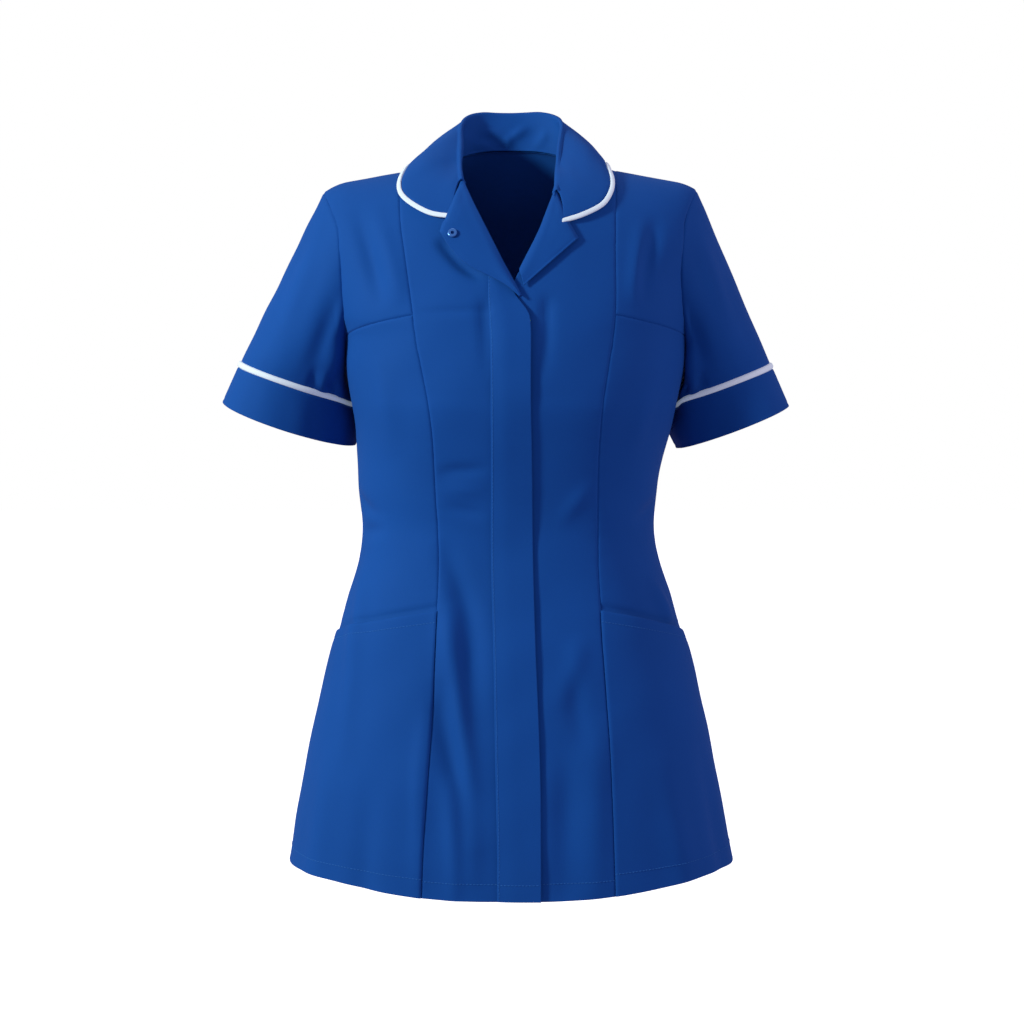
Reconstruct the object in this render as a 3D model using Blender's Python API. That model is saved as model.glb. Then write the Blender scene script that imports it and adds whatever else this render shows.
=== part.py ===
"""Zip-front tunic of royal-blue twill with white piping, filled out as when it is worn.

Metres, +Z up. The front faces -Y and the wearer's right is at -X. The origin lies midway
between the points where the two shoulder seams meet the neck. Every cloth piece is a thin
wall on one body form: rings of given half width and depth, closed over the shoulders.
"""
import math
from collections import namedtuple

import bmesh
import bpy
from mathutils import Vector

# Cloth and seams
CLOTH = 0.0012
DOUBLE_CLOTH = 0.0016
SEAM = 0.0003
PIPING_WIDTH = 0.0050
PIPING_THICK = 0.0020

# Main sizes of the tunic
HEM_CENTRE = -0.7238
HEM_RISE = 0.0150
NECK_HALF = 0.068
BUST_LEVEL = -0.225
BLADE_LEVEL = -0.150
BUST_DEPTH = 0.1262
BLADE_DEPTH = 0.105
ROUNDNESS = 2.4

# The shoulder line falls from the neck to the sleeve, and the back of the neck stands higher
SHOULDER_SLOPE = 0.18
SLOPE_START = 0.060
TIP_START = 0.165
TIP_REACH = 0.030
TIP_DROP = 0.009
NAPE_RISE = 0.035
NAPE_LEVEL = -0.0145
YOKE_REACH = 0.200
NAPE_REACH = 0.055
CREST = -4e-7

FRONT = -1
BACK = 1
RIGHT = -1
LEFT = 1
QUARTER = math.pi / 2

Form = namedtuple("Form", "level right left")
FORM = (
    Form(0.000, 0.2000, 0.2000),
    Form(-0.060, 0.1970, 0.1970),
    Form(-0.100, 0.1880, 0.1880),
    Form(-0.150, 0.1780, 0.1815),
    Form(-0.172, 0.1690, 0.1768),
    Form(-0.203, 0.1674, 0.1745),
    Form(-0.234, 0.1635, 0.1686),
    Form(-0.264, 0.1589, 0.1617),
    Form(-0.295, 0.1573, 0.1537),
    Form(-0.325, 0.1559, 0.1478),
    Form(-0.364, 0.1526, 0.1449),
    Form(-0.387, 0.1537, 0.1465),
    Form(-0.410, 0.1585, 0.1528),
    Form(-0.433, 0.1652, 0.1611),
    Form(-0.464, 0.1746, 0.1700),
    Form(-0.495, 0.1840, 0.1804),
    Form(-0.557, 0.1988, 0.1957),
    Form(-0.620, 0.2121, 0.2085),
    Form(-0.682, 0.2228, 0.2203),
    Form(-0.740, 0.2325, 0.2310),
)

Depth = namedtuple("Depth", "level reach")
FRONT_DEPTH = (
    Depth(BUST_LEVEL, BUST_DEPTH),
    Depth(-0.245, 0.1255),
    Depth(-0.280, 0.1175),
    Depth(-0.330, 0.1065),
    Depth(-0.370, 0.1025),
    Depth(-0.430, 0.1090),
    Depth(-0.480, 0.1180),
    Depth(-0.550, 0.1260),
    Depth(-0.620, 0.1320),
    Depth(-0.740, 0.1375),
)
BACK_DEPTH = (
    Depth(BLADE_LEVEL, BLADE_DEPTH),
    Depth(-0.190, 0.1040),
    Depth(-0.240, 0.0985),
    Depth(-0.300, 0.0925),
    Depth(-0.360, 0.0905),
    Depth(-0.410, 0.0975),
    Depth(-0.460, 0.1120),
    Depth(-0.520, 0.1255),
    Depth(-0.580, 0.1320),
    Depth(-0.740, 0.1370),
)

# Distance of the princess seams from the centre line
Princess = namedtuple("Princess", "level right left back")
PRINCESS = (
    Princess(0.000, 0.1115, 0.1035, 0.1070),
    Princess(-0.047, 0.1100, 0.1020, 0.1040),
    Princess(-0.094, 0.1038, 0.1010, 0.1000),
    Princess(-0.140, 0.0978, 0.1007, 0.0960),
    Princess(-0.180, 0.0928, 0.0975, 0.0915),
    Princess(-0.227, 0.0833, 0.0895, 0.0860),
    Princess(-0.270, 0.0775, 0.0857, 0.0815),
    Princess(-0.315, 0.0755, 0.0844, 0.0785),
    Princess(-0.370, 0.0727, 0.0845, 0.0770),
    Princess(-0.415, 0.0726, 0.0858, 0.0785),
    Princess(-0.472, 0.0752, 0.0893, 0.0830),
    Princess(-0.571, 0.0802, 0.0962, 0.0910),
    Princess(-0.657, 0.0866, 0.1000, 0.0970),
    Princess(-0.740, 0.0905, 0.1030, 0.1010),
)

# Heights of the rows of cloth at the princess seams and at the armholes and side seams
Row = namedtuple("Row", "princess side")
ROWS = (
    Row(CREST, CREST),
    Row(-0.0015, -0.0015),
    Row(-0.006, -0.006),
    Row(-0.014, -0.014),
    Row(-0.030, -0.030),
    Row(-0.050, -0.052),
    Row(-0.075, -0.085),
    Row(-0.100, -0.120),
    Row(-0.125, -0.150),
    Row(-0.1505, -0.1725),
    Row(-0.165, -0.185),
    Row(-0.180, -0.190),
    Row(-0.200, -0.210),
    Row(-0.235, -0.240),
    Row(-0.272, -0.275),
    Row(-0.310, -0.312),
    Row(-0.345, -0.350),
    Row(-0.375, -0.385),
    Row(-0.407, -0.420),
    Row(-0.4413, -0.476),
    Row(-0.490, -0.515),
    Row(-0.550, -0.565),
    Row(-0.610, -0.615),
    Row(-0.668, -0.665),
    Row(HEM_CENTRE, HEM_CENTRE),
)
BUST_ROW = 9
UNDERARM_ROW = 11
POCKET_ROW = 19

# Armhole: half width of the panels at each row from the shoulder down, and where the same
# point comes round the sleeve, from 0 on top of the shoulder to 180 degrees at the underarm
Armhole = namedtuple("Armhole", "front_right front_left back_right back_left round_sleeve")
ARMHOLE = (
    Armhole(0.1900, 0.1860, 0.1900, 0.1860, 0),
    Armhole(0.1893, 0.1852, 0.1895, 0.1855, 7),
    Armhole(0.1880, 0.1835, 0.1890, 0.1848, 15),
    Armhole(0.1850, 0.1802, 0.1872, 0.1828, 25),
    Armhole(0.1790, 0.1750, 0.1840, 0.1800, 37),
    Armhole(0.1728, 0.1708, 0.1800, 0.1770, 50),
    Armhole(0.1705, 0.1682, 0.1770, 0.1748, 66),
    Armhole(0.1690, 0.1688, 0.1750, 0.1748, 84),
    Armhole(0.1677, 0.1712, 0.1710, 0.1740, 103),
    Armhole(0.1660, 0.1730, 0.1665, 0.1735, 126),
)
LOW_ARMHOLE_TURN = math.radians(85)
LOW_ROUND_SLEEVE = 152


def through(rows, column, level):
    """Value of a table's column at a level, on a smooth curve through its rows."""
    down = [-row.level for row in rows]
    value = [getattr(row, column) for row in rows]
    at = min(max(-level, down[0]), down[-1])
    first = 0
    while first < len(down) - 2 and at > down[first + 1]:
        first += 1

    def slope(row):
        before = max(row - 1, 0)
        after = min(row + 1, len(down) - 1)
        return (value[after] - value[before]) / (down[after] - down[before])

    width = down[first + 1] - down[first]
    part = (at - down[first]) / width
    rest = 1 - part
    start = value[first] * (1 + 2 * part) + width * part * slope(first)
    end = value[first + 1] * (3 - 2 * part) - width * rest * slope(first + 1)
    return rest ** 2 * start + part ** 2 * end


def ease(part):
    part = min(max(part, 0), 1)
    return part * part * (3 - 2 * part)


def half_width(level, side):
    return through(FORM, "right" if side < 0 else "left", level)


def depth(level, face):
    """How far the form reaches to the front or back, closing like an ellipse above its peak."""
    peak = BUST_LEVEL if face == FRONT else BLADE_LEVEL
    if level > peak:
        reach = BUST_DEPTH if face == FRONT else BLADE_DEPTH
        up = (level - peak) / -peak
        return reach * math.sqrt(max(1 - up * up, 0))
    return through(FRONT_DEPTH if face == FRONT else BACK_DEPTH, "reach", level)


def rise(x, level, face):
    """How far the slope of the shoulders and the nape lift a row of cloth off its level."""
    away = abs(x)
    height = -SHOULDER_SLOPE * max(away - SLOPE_START, 0)
    height -= TIP_DROP * (max(away - TIP_START, 0) / TIP_REACH) ** 2
    height *= ease(1 + level / YOKE_REACH)
    if face == BACK and away < NECK_HALF:
        height += NAPE_RISE * (1 - (away / NECK_HALF) ** 2) * ease(1 + level / NAPE_REACH)
    return height


def level_at(x, z, face):
    """Level of the row of cloth that lies at a height; above the crest it goes on evenly."""
    top = rise(x, CREST, face)
    if z > top:
        return z - top
    low = z - 2 * NAPE_RISE
    high = CREST
    for halving in range(40):
        middle = (low + high) / 2
        if middle + rise(x, middle, face) < z:
            low = middle
        else:
            high = middle
    return (low + high) / 2


def skin(turn, level, face):
    """Point of the form, turned from 0 at the centre to a quarter at either side."""
    side = RIGHT if turn < 0 else LEFT
    across = abs(math.sin(turn)) ** (2 / ROUNDNESS)
    forward = max(math.cos(turn), 0) ** (2 / ROUNDNESS)
    x = side * half_width(level, side) * across
    y = face * (depth(level, face) * forward + SEAM / 2)
    return Vector((x, y, level + rise(x, level, face)))


def outward(turn, level, face):
    """Direction straight out of the form."""
    step = 0.002
    drop = 0.0005
    one = max(turn - step, -QUARTER)
    other = min(turn + step, QUARTER)
    sideways = skin(other, level, face) - skin(one, level, face)
    upper = min(level + drop, CREST)
    upwards = skin(turn, upper, face) - skin(turn, level - drop, face)
    return (sideways.cross(upwards) * -face).normalized()


def cloth_point(turn, level, face, lift=0.0):
    return skin(turn, level, face) + outward(turn, level, face) * lift


def turn_at(x, level):
    """Turn at which the form is this far from the centre line."""
    side = RIGHT if x < 0 else LEFT
    part = min(abs(x) / half_width(level, side), 1)
    return side * math.asin(part ** (ROUNDNESS / 2))


def hem_level(turn):
    """The hem is lowest at the centre and rises towards the side seams."""
    return HEM_CENTRE + HEM_RISE * ease((abs(math.degrees(turn)) - 5) / 58)


Node = namedtuple("Node", "turn level")


def node(x, level):
    return Node(turn_at(x, level), level)


def princess_seam(side, face):
    column = "back" if face == BACK else ("right" if side < 0 else "left")
    return [node(side * through(PRINCESS, column, row.princess), row.princess) for row in ROWS]


def side_line(side, face):
    """Armhole edge and side seam of a panel, from the shoulder to the hem."""
    place = "right" if side < 0 else "left"
    column = ("back_" if face == BACK else "front_") + place
    nodes = []
    for number, row in enumerate(ROWS):
        if number < len(ARMHOLE):
            nodes.append(node(side * getattr(ARMHOLE[number], column), row.side))
        elif number < UNDERARM_ROW:
            nodes.append(Node(side * LOW_ARMHOLE_TURN, row.side))
        else:
            nodes.append(Node(side * QUARTER, row.side))
    return nodes


def mix(one, other, part):
    return one + (other - one) * part


def new_material(name, colour, roughness, metallic=0.0):
    material = bpy.data.materials.new(name)
    material.use_nodes = True
    shader = material.node_tree.nodes["Principled BSDF"]
    shader.inputs["Base Color"].default_value = (*colour, 1)
    shader.inputs["Roughness"].default_value = roughness
    shader.inputs["Metallic"].default_value = metallic
    return material


def add_object(name, mesh, material):
    body = bmesh.new()
    body.from_mesh(mesh)
    bmesh.ops.recalc_face_normals(body, faces=body.faces)
    body.to_mesh(mesh)
    body.free()
    mesh.materials.append(material)
    mesh.shade_smooth()
    mesh.set_sharp_from_angle(angle=math.radians(35))
    piece = bpy.data.objects.new(name, mesh)
    bpy.context.scene.collection.objects.link(piece)
    return piece


def wall(name, outer, inner, material, closed=False):
    """Closed wall between two grids of points of the same size, cut into triangles alike."""
    rows = len(outer)
    columns = len(outer[0])
    points = [point for grid in (outer, inner) for line in grid for point in line]
    layer = rows * columns
    steps = columns if closed else columns - 1
    faces = []

    def quad(one, two, three, four):
        faces.append((one, two, three))
        faces.append((one, three, four))

    for row in range(rows - 1):
        for column in range(steps):
            beside = (column + 1) % columns
            one = row * columns + column
            two = row * columns + beside
            three = (row + 1) * columns + beside
            four = (row + 1) * columns + column
            quad(one, two, three, four)
            faces.append((layer + one, layer + three, layer + two))
            faces.append((layer + one, layer + four, layer + three))
    for column in range(steps):
        beside = (column + 1) % columns
        for row, flip in ((0, False), (rows - 1, True)):
            one, two = row * columns + column, row * columns + beside
            if flip:
                one, two = two, one
            quad(one, layer + one, layer + two, two)
    if not closed:
        for row in range(rows - 1):
            for column, flip in ((0, True), (columns - 1, False)):
                one, two = row * columns + column, (row + 1) * columns + column
                if flip:
                    one, two = two, one
                quad(one, layer + one, layer + two, two)
    mesh = bpy.data.meshes.new(name)
    mesh.from_pydata([tuple(point) for point in points], [], faces)
    return add_object(name, mesh, material)


def panel_nodes(left, right, columns, to_hem):
    """Grid of nodes between two seams, drawn in by half a seam gap on every side."""
    half_gap = SEAM / 2
    side_gap = half_gap / 0.10
    grid = []
    for number, (start, end) in enumerate(zip(left, right)):
        line = []
        low = max(start.turn + side_gap, -QUARTER)
        high = min(end.turn - side_gap, QUARTER)
        if start.turn <= -QUARTER:
            low = -QUARTER
        if end.turn >= QUARTER:
            high = QUARTER
        for column in range(columns + 1):
            part = column / columns
            turn = mix(low, high, part)
            level = mix(start.level, end.level, part)
            if to_hem and number == len(left) - 1:
                level = hem_level(turn)
            if number == 0 and level < CREST:
                level -= half_gap
            if number == len(left) - 1:
                level += half_gap
            line.append(Node(turn, level))
        grid.append(line)
    return grid


def cloth_wall(name, nodes, face, material, lift=0.0, thick=CLOTH):
    """Wall that follows the form; lift is the height of its outer face."""
    outer = [[cloth_point(at.turn, at.level, face, lift) for at in line] for line in nodes]
    inner = [[cloth_point(at.turn, at.level, face, lift - thick) for at in line] for line in nodes]
    return wall(name, outer, inner, material)


def ordered(side, inner, outer):
    """The two seams of a panel with the lower turn first."""
    return (inner, outer) if side > 0 else (outer, inner)


def word(side):
    return "right" if side < 0 else "left"


for item in list(bpy.data.objects):
    bpy.data.objects.remove(item, do_unlink=True)

TWILL = new_material("royal_twill", (0.009, 0.075, 0.330), 0.82)
WHITE = new_material("white_piping", (0.86, 0.87, 0.90), 0.60)
ZIP_BLUE = new_material("zip_blue", (0.008, 0.050, 0.240), 0.50)
ZIP_METAL = new_material("zip_metal", (0.56, 0.56, 0.58), 0.32, 1.0)

# Fly: the doubled strip over the zip, from its stitched side to its free edge
Fly = namedtuple("Fly", "level stitched free gape")
FLY = (
    Fly(-0.112, -0.0226, -0.0075, 0.0026),
    Fly(-0.120, -0.0228, -0.0040, 0.0028),
    Fly(-0.135, -0.0231, 0.0050, 0.0032),
    Fly(-0.1505, -0.0228, 0.0160, 0.0045),
    Fly(-0.181, -0.0212, 0.0183, 0.0050),
    Fly(-0.214, -0.0208, 0.0179, 0.0040),
    Fly(-0.292, -0.0204, 0.0194, 0.0034),
    Fly(-0.391, -0.0206, 0.0206, 0.0032),
    Fly(-0.488, -0.0181, 0.0234, 0.0032),
    Fly(-0.585, -0.0166, 0.0273, 0.0032),
    Fly(-0.673, -0.0147, 0.0283, 0.0034),
    Fly(-0.740, -0.0147, 0.0284, 0.0036),
)
FLY_START_ROW = 9
ZIP_CHANNEL = 0.0060


def zip_x(level):
    """The zip runs down the middle of the fly."""
    level = min(level, FLY[3].level)
    return (through(FLY, "stitched", level) + through(FLY, "free", level)) / 2


# Neck edge of each front: from the shoulder seam down to where the lapel starts to roll,
# then along the lapel's roll to the zip
NeckEdge = namedtuple("NeckEdge", "level right left")
NECK_EDGE = (
    NeckEdge(0.0000, 0.0680, 0.0660),
    NeckEdge(-0.0015, 0.0672, 0.0652),
    NeckEdge(-0.0060, 0.0640, 0.0620),
    NeckEdge(-0.0140, 0.0570, 0.0560),
    NeckEdge(-0.0225, 0.0502, 0.0492),
    NeckEdge(-0.0450, 0.0397, 0.0391),
    NeckEdge(-0.0700, 0.0272, 0.0293),
    NeckEdge(-0.0950, 0.0147, 0.0168),
)


def zip_edge(side):
    """Inner edge of a front centre panel: the neck edge, the roll, then beside the zip."""
    nodes = []
    for number, row in enumerate(ROWS):
        if number < len(NECK_EDGE):
            edge = NECK_EDGE[number]
            x = getattr(edge, word(side))
            nodes.append(node(side * x, min(edge.level, CREST)))
        else:
            level = row.princess if number > len(NECK_EDGE) else -0.120
            nodes.append(node(zip_x(level) + side * ZIP_CHANNEL, level))
    return nodes


# Front and back panels
for side in (RIGHT, LEFT):
    princess = princess_seam(side, FRONT)
    outside = side_line(side, FRONT)
    centre = panel_nodes(*ordered(side, zip_edge(side), princess), 3, True)
    cloth_wall("front_centre_" + word(side), centre, FRONT, TWILL)

    upper = ordered(side, princess[:BUST_ROW + 1], outside[:BUST_ROW + 1])
    cloth_wall("front_side_upper_" + word(side), panel_nodes(*upper, 4, False), FRONT, TWILL)

    lower = panel_nodes(*ordered(side, princess[BUST_ROW:], outside[BUST_ROW:]), 5, True)
    cloth_wall("front_side_" + word(side), lower, FRONT, TWILL)

    pocket = lower[POCKET_ROW - BUST_ROW:]
    cloth_wall("pocket_" + word(side), pocket, FRONT, TWILL, lift=SEAM + CLOTH)

    back_princess = princess_seam(side, BACK)
    back_outside = side_line(side, BACK)
    back_side = panel_nodes(*ordered(side, back_princess, back_outside), 5, True)
    cloth_wall("back_side_" + word(side), back_side, BACK, TWILL)


def back_centre_nodes():
    """The back centre panel reaches up to the curve of the neck between the shoulders."""
    shares = (0, 0.22, 0.43, 0.58, NECK_HALF / PRINCESS[0].back, 0.83, 1)
    places = [-share for share in reversed(shares[1:])] + list(shares)
    gap = SEAM / 2
    nodes = []
    for number, row in enumerate(ROWS):
        line = []
        reach = through(PRINCESS, "back", row.princess) - gap
        for place in places:
            x = place * reach
            neck = NAPE_LEVEL * max(1 - (x / NECK_HALF) ** 2, 0)
            level = row.princess + neck * (1 - ease(-row.princess / 0.12))
            at = node(x, min(level, CREST))
            if number == len(ROWS) - 1:
                at = Node(at.turn, hem_level(at.turn) + gap)
            line.append(at)
        nodes.append(line)
    return nodes


cloth_wall("back_centre", back_centre_nodes(), BACK, TWILL)


# Sleeves: the seam with the cuff band and the hem, each an oval given by its outer point, its
# inner point beside the body, its half depth and how far its front edge hangs lower
Oval = namedtuple("Oval", "outer inner half_depth dip")
CUFF_SEAM = {
    RIGHT: Oval(Vector((-0.2772, 0.014, -0.2022)), Vector((-0.1500, 0.052, -0.2460)), 0.062, 0.001),
    LEFT: Oval(Vector((0.2640, 0.014, -0.2040)), Vector((0.1500, 0.052, -0.2475)), 0.060, 0.000),
}
SLEEVE_HEM = {
    RIGHT: Oval(Vector((-0.2946, 0.012, -0.2408)), Vector((-0.1620, 0.044, -0.2862)), 0.063, 0.005),
    LEFT: Oval(Vector((0.2820, 0.012, -0.2449)), Vector((0.1705, 0.044, -0.2900)), 0.061, 0.001),
}
SLEEVE_ROWS = 6
SLEEVE_BODY_GAP = 0.0035
CUFF_LIFT = 0.0006
CAP_BULGE = 0.006


def armhole_ring(side):
    """Points round an armhole from the shoulder over the front to the underarm and back."""
    front = side_line(side, FRONT)[:UNDERARM_ROW + 1]
    back = side_line(side, BACK)[:UNDERARM_ROW + 1]
    low = [LOW_ROUND_SLEEVE, 180]
    angles = [row.round_sleeve for row in ARMHOLE] + low
    ring = [(at, FRONT, angle) for at, angle in zip(front, angles)]
    ring += [(at, BACK, 360 - angle) for at, angle in zip(back, angles)][-2:0:-1]
    return ring


def oval_point(oval, side, angle):
    centre = (oval.outer + oval.inner) / 2
    across = (oval.outer - oval.inner) / 2
    turn = math.radians(angle)
    forward = math.sin(turn)
    return centre + across * math.cos(turn) + Vector((0, -oval.half_depth, -oval.dip)) * forward


def clear_of_side(point, gap):
    """Move a sleeve point sideways until it is clear of the body's side."""
    side = RIGHT if point.x < 0 else LEFT
    level = min(point.z, CREST)
    reach = depth(level, FRONT if point.y < 0 else BACK)
    part = min(abs(point.y) / max(reach, 1e-6), 1)
    limit = half_width(level, side) * (1 - part ** ROUNDNESS) ** (1 / ROUNDNESS) + gap
    if abs(point.x) < limit:
        return Vector((side * limit, point.y, point.z))
    return point


def grid_normals(grid, closed):
    """Direction out of a grid of points, rows first; closed where each row is a ring."""
    rows, columns = len(grid), len(grid[0])
    normals = []
    for row in range(rows):
        line = []
        for column in range(columns):
            if closed:
                before, after = (column - 1) % columns, (column + 1) % columns
            else:
                before, after = max(column - 1, 0), min(column + 1, columns - 1)
            along = grid[row][after] - grid[row][before]
            down = grid[min(row + 1, rows - 1)][column] - grid[max(row - 1, 0)][column]
            line.append(along.cross(down).normalized())
        normals.append(line)
    return normals


def moved(grid, normals, lift):
    return [[point + normal * lift for point, normal in zip(line, out)]
            for line, out in zip(grid, normals)]


def sleeve_surface(side):
    """Rings of the sleeve from the armhole to the cuff seam, with their outward directions."""
    ring = armhole_ring(side)
    rows = []
    for number in range(SLEEVE_ROWS + 1):
        part = number / SLEEVE_ROWS
        line = []
        for at, face, angle in ring:
            top = skin(at.turn, at.level, face) + Vector((side * SEAM, 0, 0))
            end = oval_point(CUFF_SEAM[side], side, angle)
            point = mix(top, end, part)
            swell = CAP_BULGE * math.sin(math.pi * part) * abs(math.sin(math.radians(angle)))
            point.y += swell * (-1 if angle < 180 else 1)
            if number:
                point = clear_of_side(point, SLEEVE_BODY_GAP * min(2 * part, 1))
            line.append(point)
        rows.append(line)
    normals = grid_normals(rows, True)
    sign = 1 if normals[2][0].z > 0 else -1
    normals = [[normal * sign for normal in line] for line in normals]
    for index, (at, face, angle) in enumerate(ring):
        blend = ease(1 - abs(180 - angle) / 180)
        seat = mix(outward(at.turn, at.level, face), normals[0][index], blend)
        normals[0][index] = seat.normalized()
    return rows, normals


def cuff_surface(side):
    """Rings of the cuff band from its seam to the sleeve's hem."""
    angles = [angle for at, face, angle in armhole_ring(side)]
    rows = []
    for part in (0, 0.5, 1):
        line = []
        for angle in angles:
            top = oval_point(CUFF_SEAM[side], side, angle)
            end = oval_point(SLEEVE_HEM[side], side, angle)
            line.append(clear_of_side(mix(top, end, part), SLEEVE_BODY_GAP))
        rows.append(line)
    return rows


def shorten(rows, from_start, from_end):
    """Draw the first and last rings of a surface in along the cloth by these distances."""
    rows = [list(line) for line in rows]
    for index in range(len(rows[0])):
        start, second = rows[0][index], rows[1][index]
        rows[0][index] = start + (second - start).normalized() * from_start
        end, before = rows[-1][index], rows[-2][index]
        rows[-1][index] = end + (before - end).normalized() * from_end
    return rows


for side in (RIGHT, LEFT):
    half_piping = PIPING_WIDTH / 2
    sleeve, sleeve_out = sleeve_surface(side)
    cuff = cuff_surface(side)
    cuff_out = grid_normals(cuff, True)
    sign = 1 if cuff_out[0][0].z > 0 else -1
    cuff_out = [[normal * sign for normal in line] for line in cuff_out]
    join_out = [(one + other).normalized() for one, other in zip(sleeve_out[-1], cuff_out[0])]
    sleeve_out[-1] = join_out
    cuff_out[0] = join_out

    seam_line = cuff[0]
    sleeve = shorten(sleeve, 0, half_piping + 2 * SEAM)
    cuff = shorten(cuff, half_piping + 2 * SEAM, 0)
    wall("sleeve_" + word(side), sleeve, moved(sleeve, sleeve_out, -CLOTH), TWILL, closed=True)
    band = moved(cuff, cuff_out, CUFF_LIFT)
    wall("cuff_" + word(side), band, moved(band, cuff_out, -DOUBLE_CLOTH), TWILL, closed=True)

    above = [point + (edge - point).normalized() * half_piping
             for point, edge in zip(seam_line, sleeve[-1])]
    below = [point + (edge - point).normalized() * half_piping
             for point, edge in zip(seam_line, cuff[0])]
    piping = [above, seam_line, below]
    lifted = moved(piping, [join_out] * 3, PIPING_THICK - CLOTH)
    seated = moved(piping, [join_out] * 3, -CLOTH)
    wall("cuff_piping_" + word(side), lifted, seated, WHITE, closed=True)

# Collar: at each station round the neck, from the centre back, the neck seam, the fold line
# and the outer edge where it lies over the back, the shoulder and the front
Station = namedtuple("Station", "neck_x neck_level fold_x fold_y fold_z edge_x edge_z")
COLLAR_BACK = (
    Station(0.0000, 0, 0.0000, 0.0525, 0.0545, 0.0000, -0.0200),
    Station(0.0227, 0, 0.0150, 0.0515, 0.0545, 0.0260, -0.0200),
    Station(0.0420, 0, 0.0290, 0.0475, 0.0543, 0.0510, -0.0197),
    Station(0.0570, 0, 0.0400, 0.0390, 0.0515, 0.0730, -0.0183),
    Station(0.0655, 0, 0.0465, 0.0280, 0.0465, 0.0905, -0.0150),
)
COLLAR_FRONT = {
    RIGHT: (
        Station(0.0680, CREST, 0.0492, 0.0165, 0.0395, 0.1010, -0.0109),
        Station(0.0667, -0.0015, 0.0495, 0.0050, 0.0305, 0.1045, -0.0083),
        Station(0.0645, -0.0035, 0.0495, -0.0070, 0.0210, 0.1090, -0.0128),
        Station(0.0610, -0.0075, 0.0495, -0.0190, 0.0115, 0.1130, -0.0234),
        Station(0.0570, -0.0120, 0.0493, -0.0300, 0.0020, 0.1115, -0.0350),
        Station(0.0535, -0.0155, 0.0488, -0.0410, -0.0055, 0.1010, -0.0456),
        Station(0.0505, -0.0190, 0.0481, -0.0500, -0.0120, 0.0800, -0.0565),
        Station(0.0475, -0.0225, 0.0475, -0.0576, -0.0181, 0.0569, -0.0600),
    ),
    LEFT: (
        Station(0.0660, CREST, 0.0480, 0.0165, 0.0390, 0.0970, -0.0102),
        Station(0.0647, -0.0015, 0.0466, 0.0040, 0.0290, 0.0970, -0.0070),
        Station(0.0620, -0.0040, 0.0448, -0.0090, 0.0180, 0.0985, -0.0119),
        Station(0.0585, -0.0085, 0.0434, -0.0220, 0.0070, 0.1010, -0.0223),
        Station(0.0545, -0.0135, 0.0424, -0.0345, -0.0040, 0.0990, -0.0342),
        Station(0.0500, -0.0190, 0.0418, -0.0475, -0.0125, 0.0895, -0.0477),
        Station(0.0455, -0.0260, 0.0414, -0.0586, -0.0213, 0.0690, -0.0583),
        Station(0.0412, -0.0332, 0.0412, -0.0691, -0.0289, 0.0484, -0.0645),
    ),
}
FOLD_RADIUS = 0.0024
STAND_INSET = 0.0038
STAND_DROP = 0.004
COLLAR_EDGE_LIFT = 0.0040
COLLAR_CLEAR = 0.0036
FALL_BULGE = 0.007
FALL_PARTS = (0.25, 0.5, 0.75)
FOLD_ANGLES = (180, 120, 60, 0)


def clear_of_shoulder(point, gap):
    """Lift a point off the body's shoulder, where the form closes like an ellipse."""
    face = FRONT if point.y < 0 else BACK
    peak = BUST_LEVEL if face == FRONT else BLADE_LEVEL
    reach = BUST_DEPTH if face == FRONT else BLADE_DEPTH
    for attempt in range(3):
        level = level_at(point.x, point.z, face)
        side = RIGHT if point.x < 0 else LEFT
        part = min(abs(point.x) / half_width(min(level, CREST), side), 0.98)
        narrow = reach * (1 - part ** ROUNDNESS) ** (1 / ROUNDNESS)
        up = (level - peak) / -peak
        slope = Vector((0, 2 * point.y / narrow ** 2, 2 * up / -peak))
        distance = ((point.y / narrow) ** 2 + up ** 2 - 1) / slope.length
        if distance < gap:
            point = point + slope.normalized() * (gap - distance)
    return point


def collar_stations():
    """All stations from the collar's right end round the back to its left end."""
    def ends(side):
        return [(side, row, FRONT if number else BACK)
                for number, row in enumerate(COLLAR_FRONT[side])]

    back = [(RIGHT, row, BACK) for row in COLLAR_BACK]
    other = [(LEFT, row, BACK) for row in COLLAR_BACK[1:]]
    return ends(RIGHT)[::-1] + back[::-1] + other + ends(LEFT)


def neck_point(side, row, face):
    level = row.neck_level
    if row in COLLAR_BACK:
        level = NAPE_LEVEL * (1 - (row.neck_x / NECK_HALF) ** 2)
    level = min(level, CREST)
    point = skin(turn_at(side * row.neck_x, level), level, face)
    inward = -Vector((point.x, point.y, 0)).normalized()
    return point + inward * STAND_INSET


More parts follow.
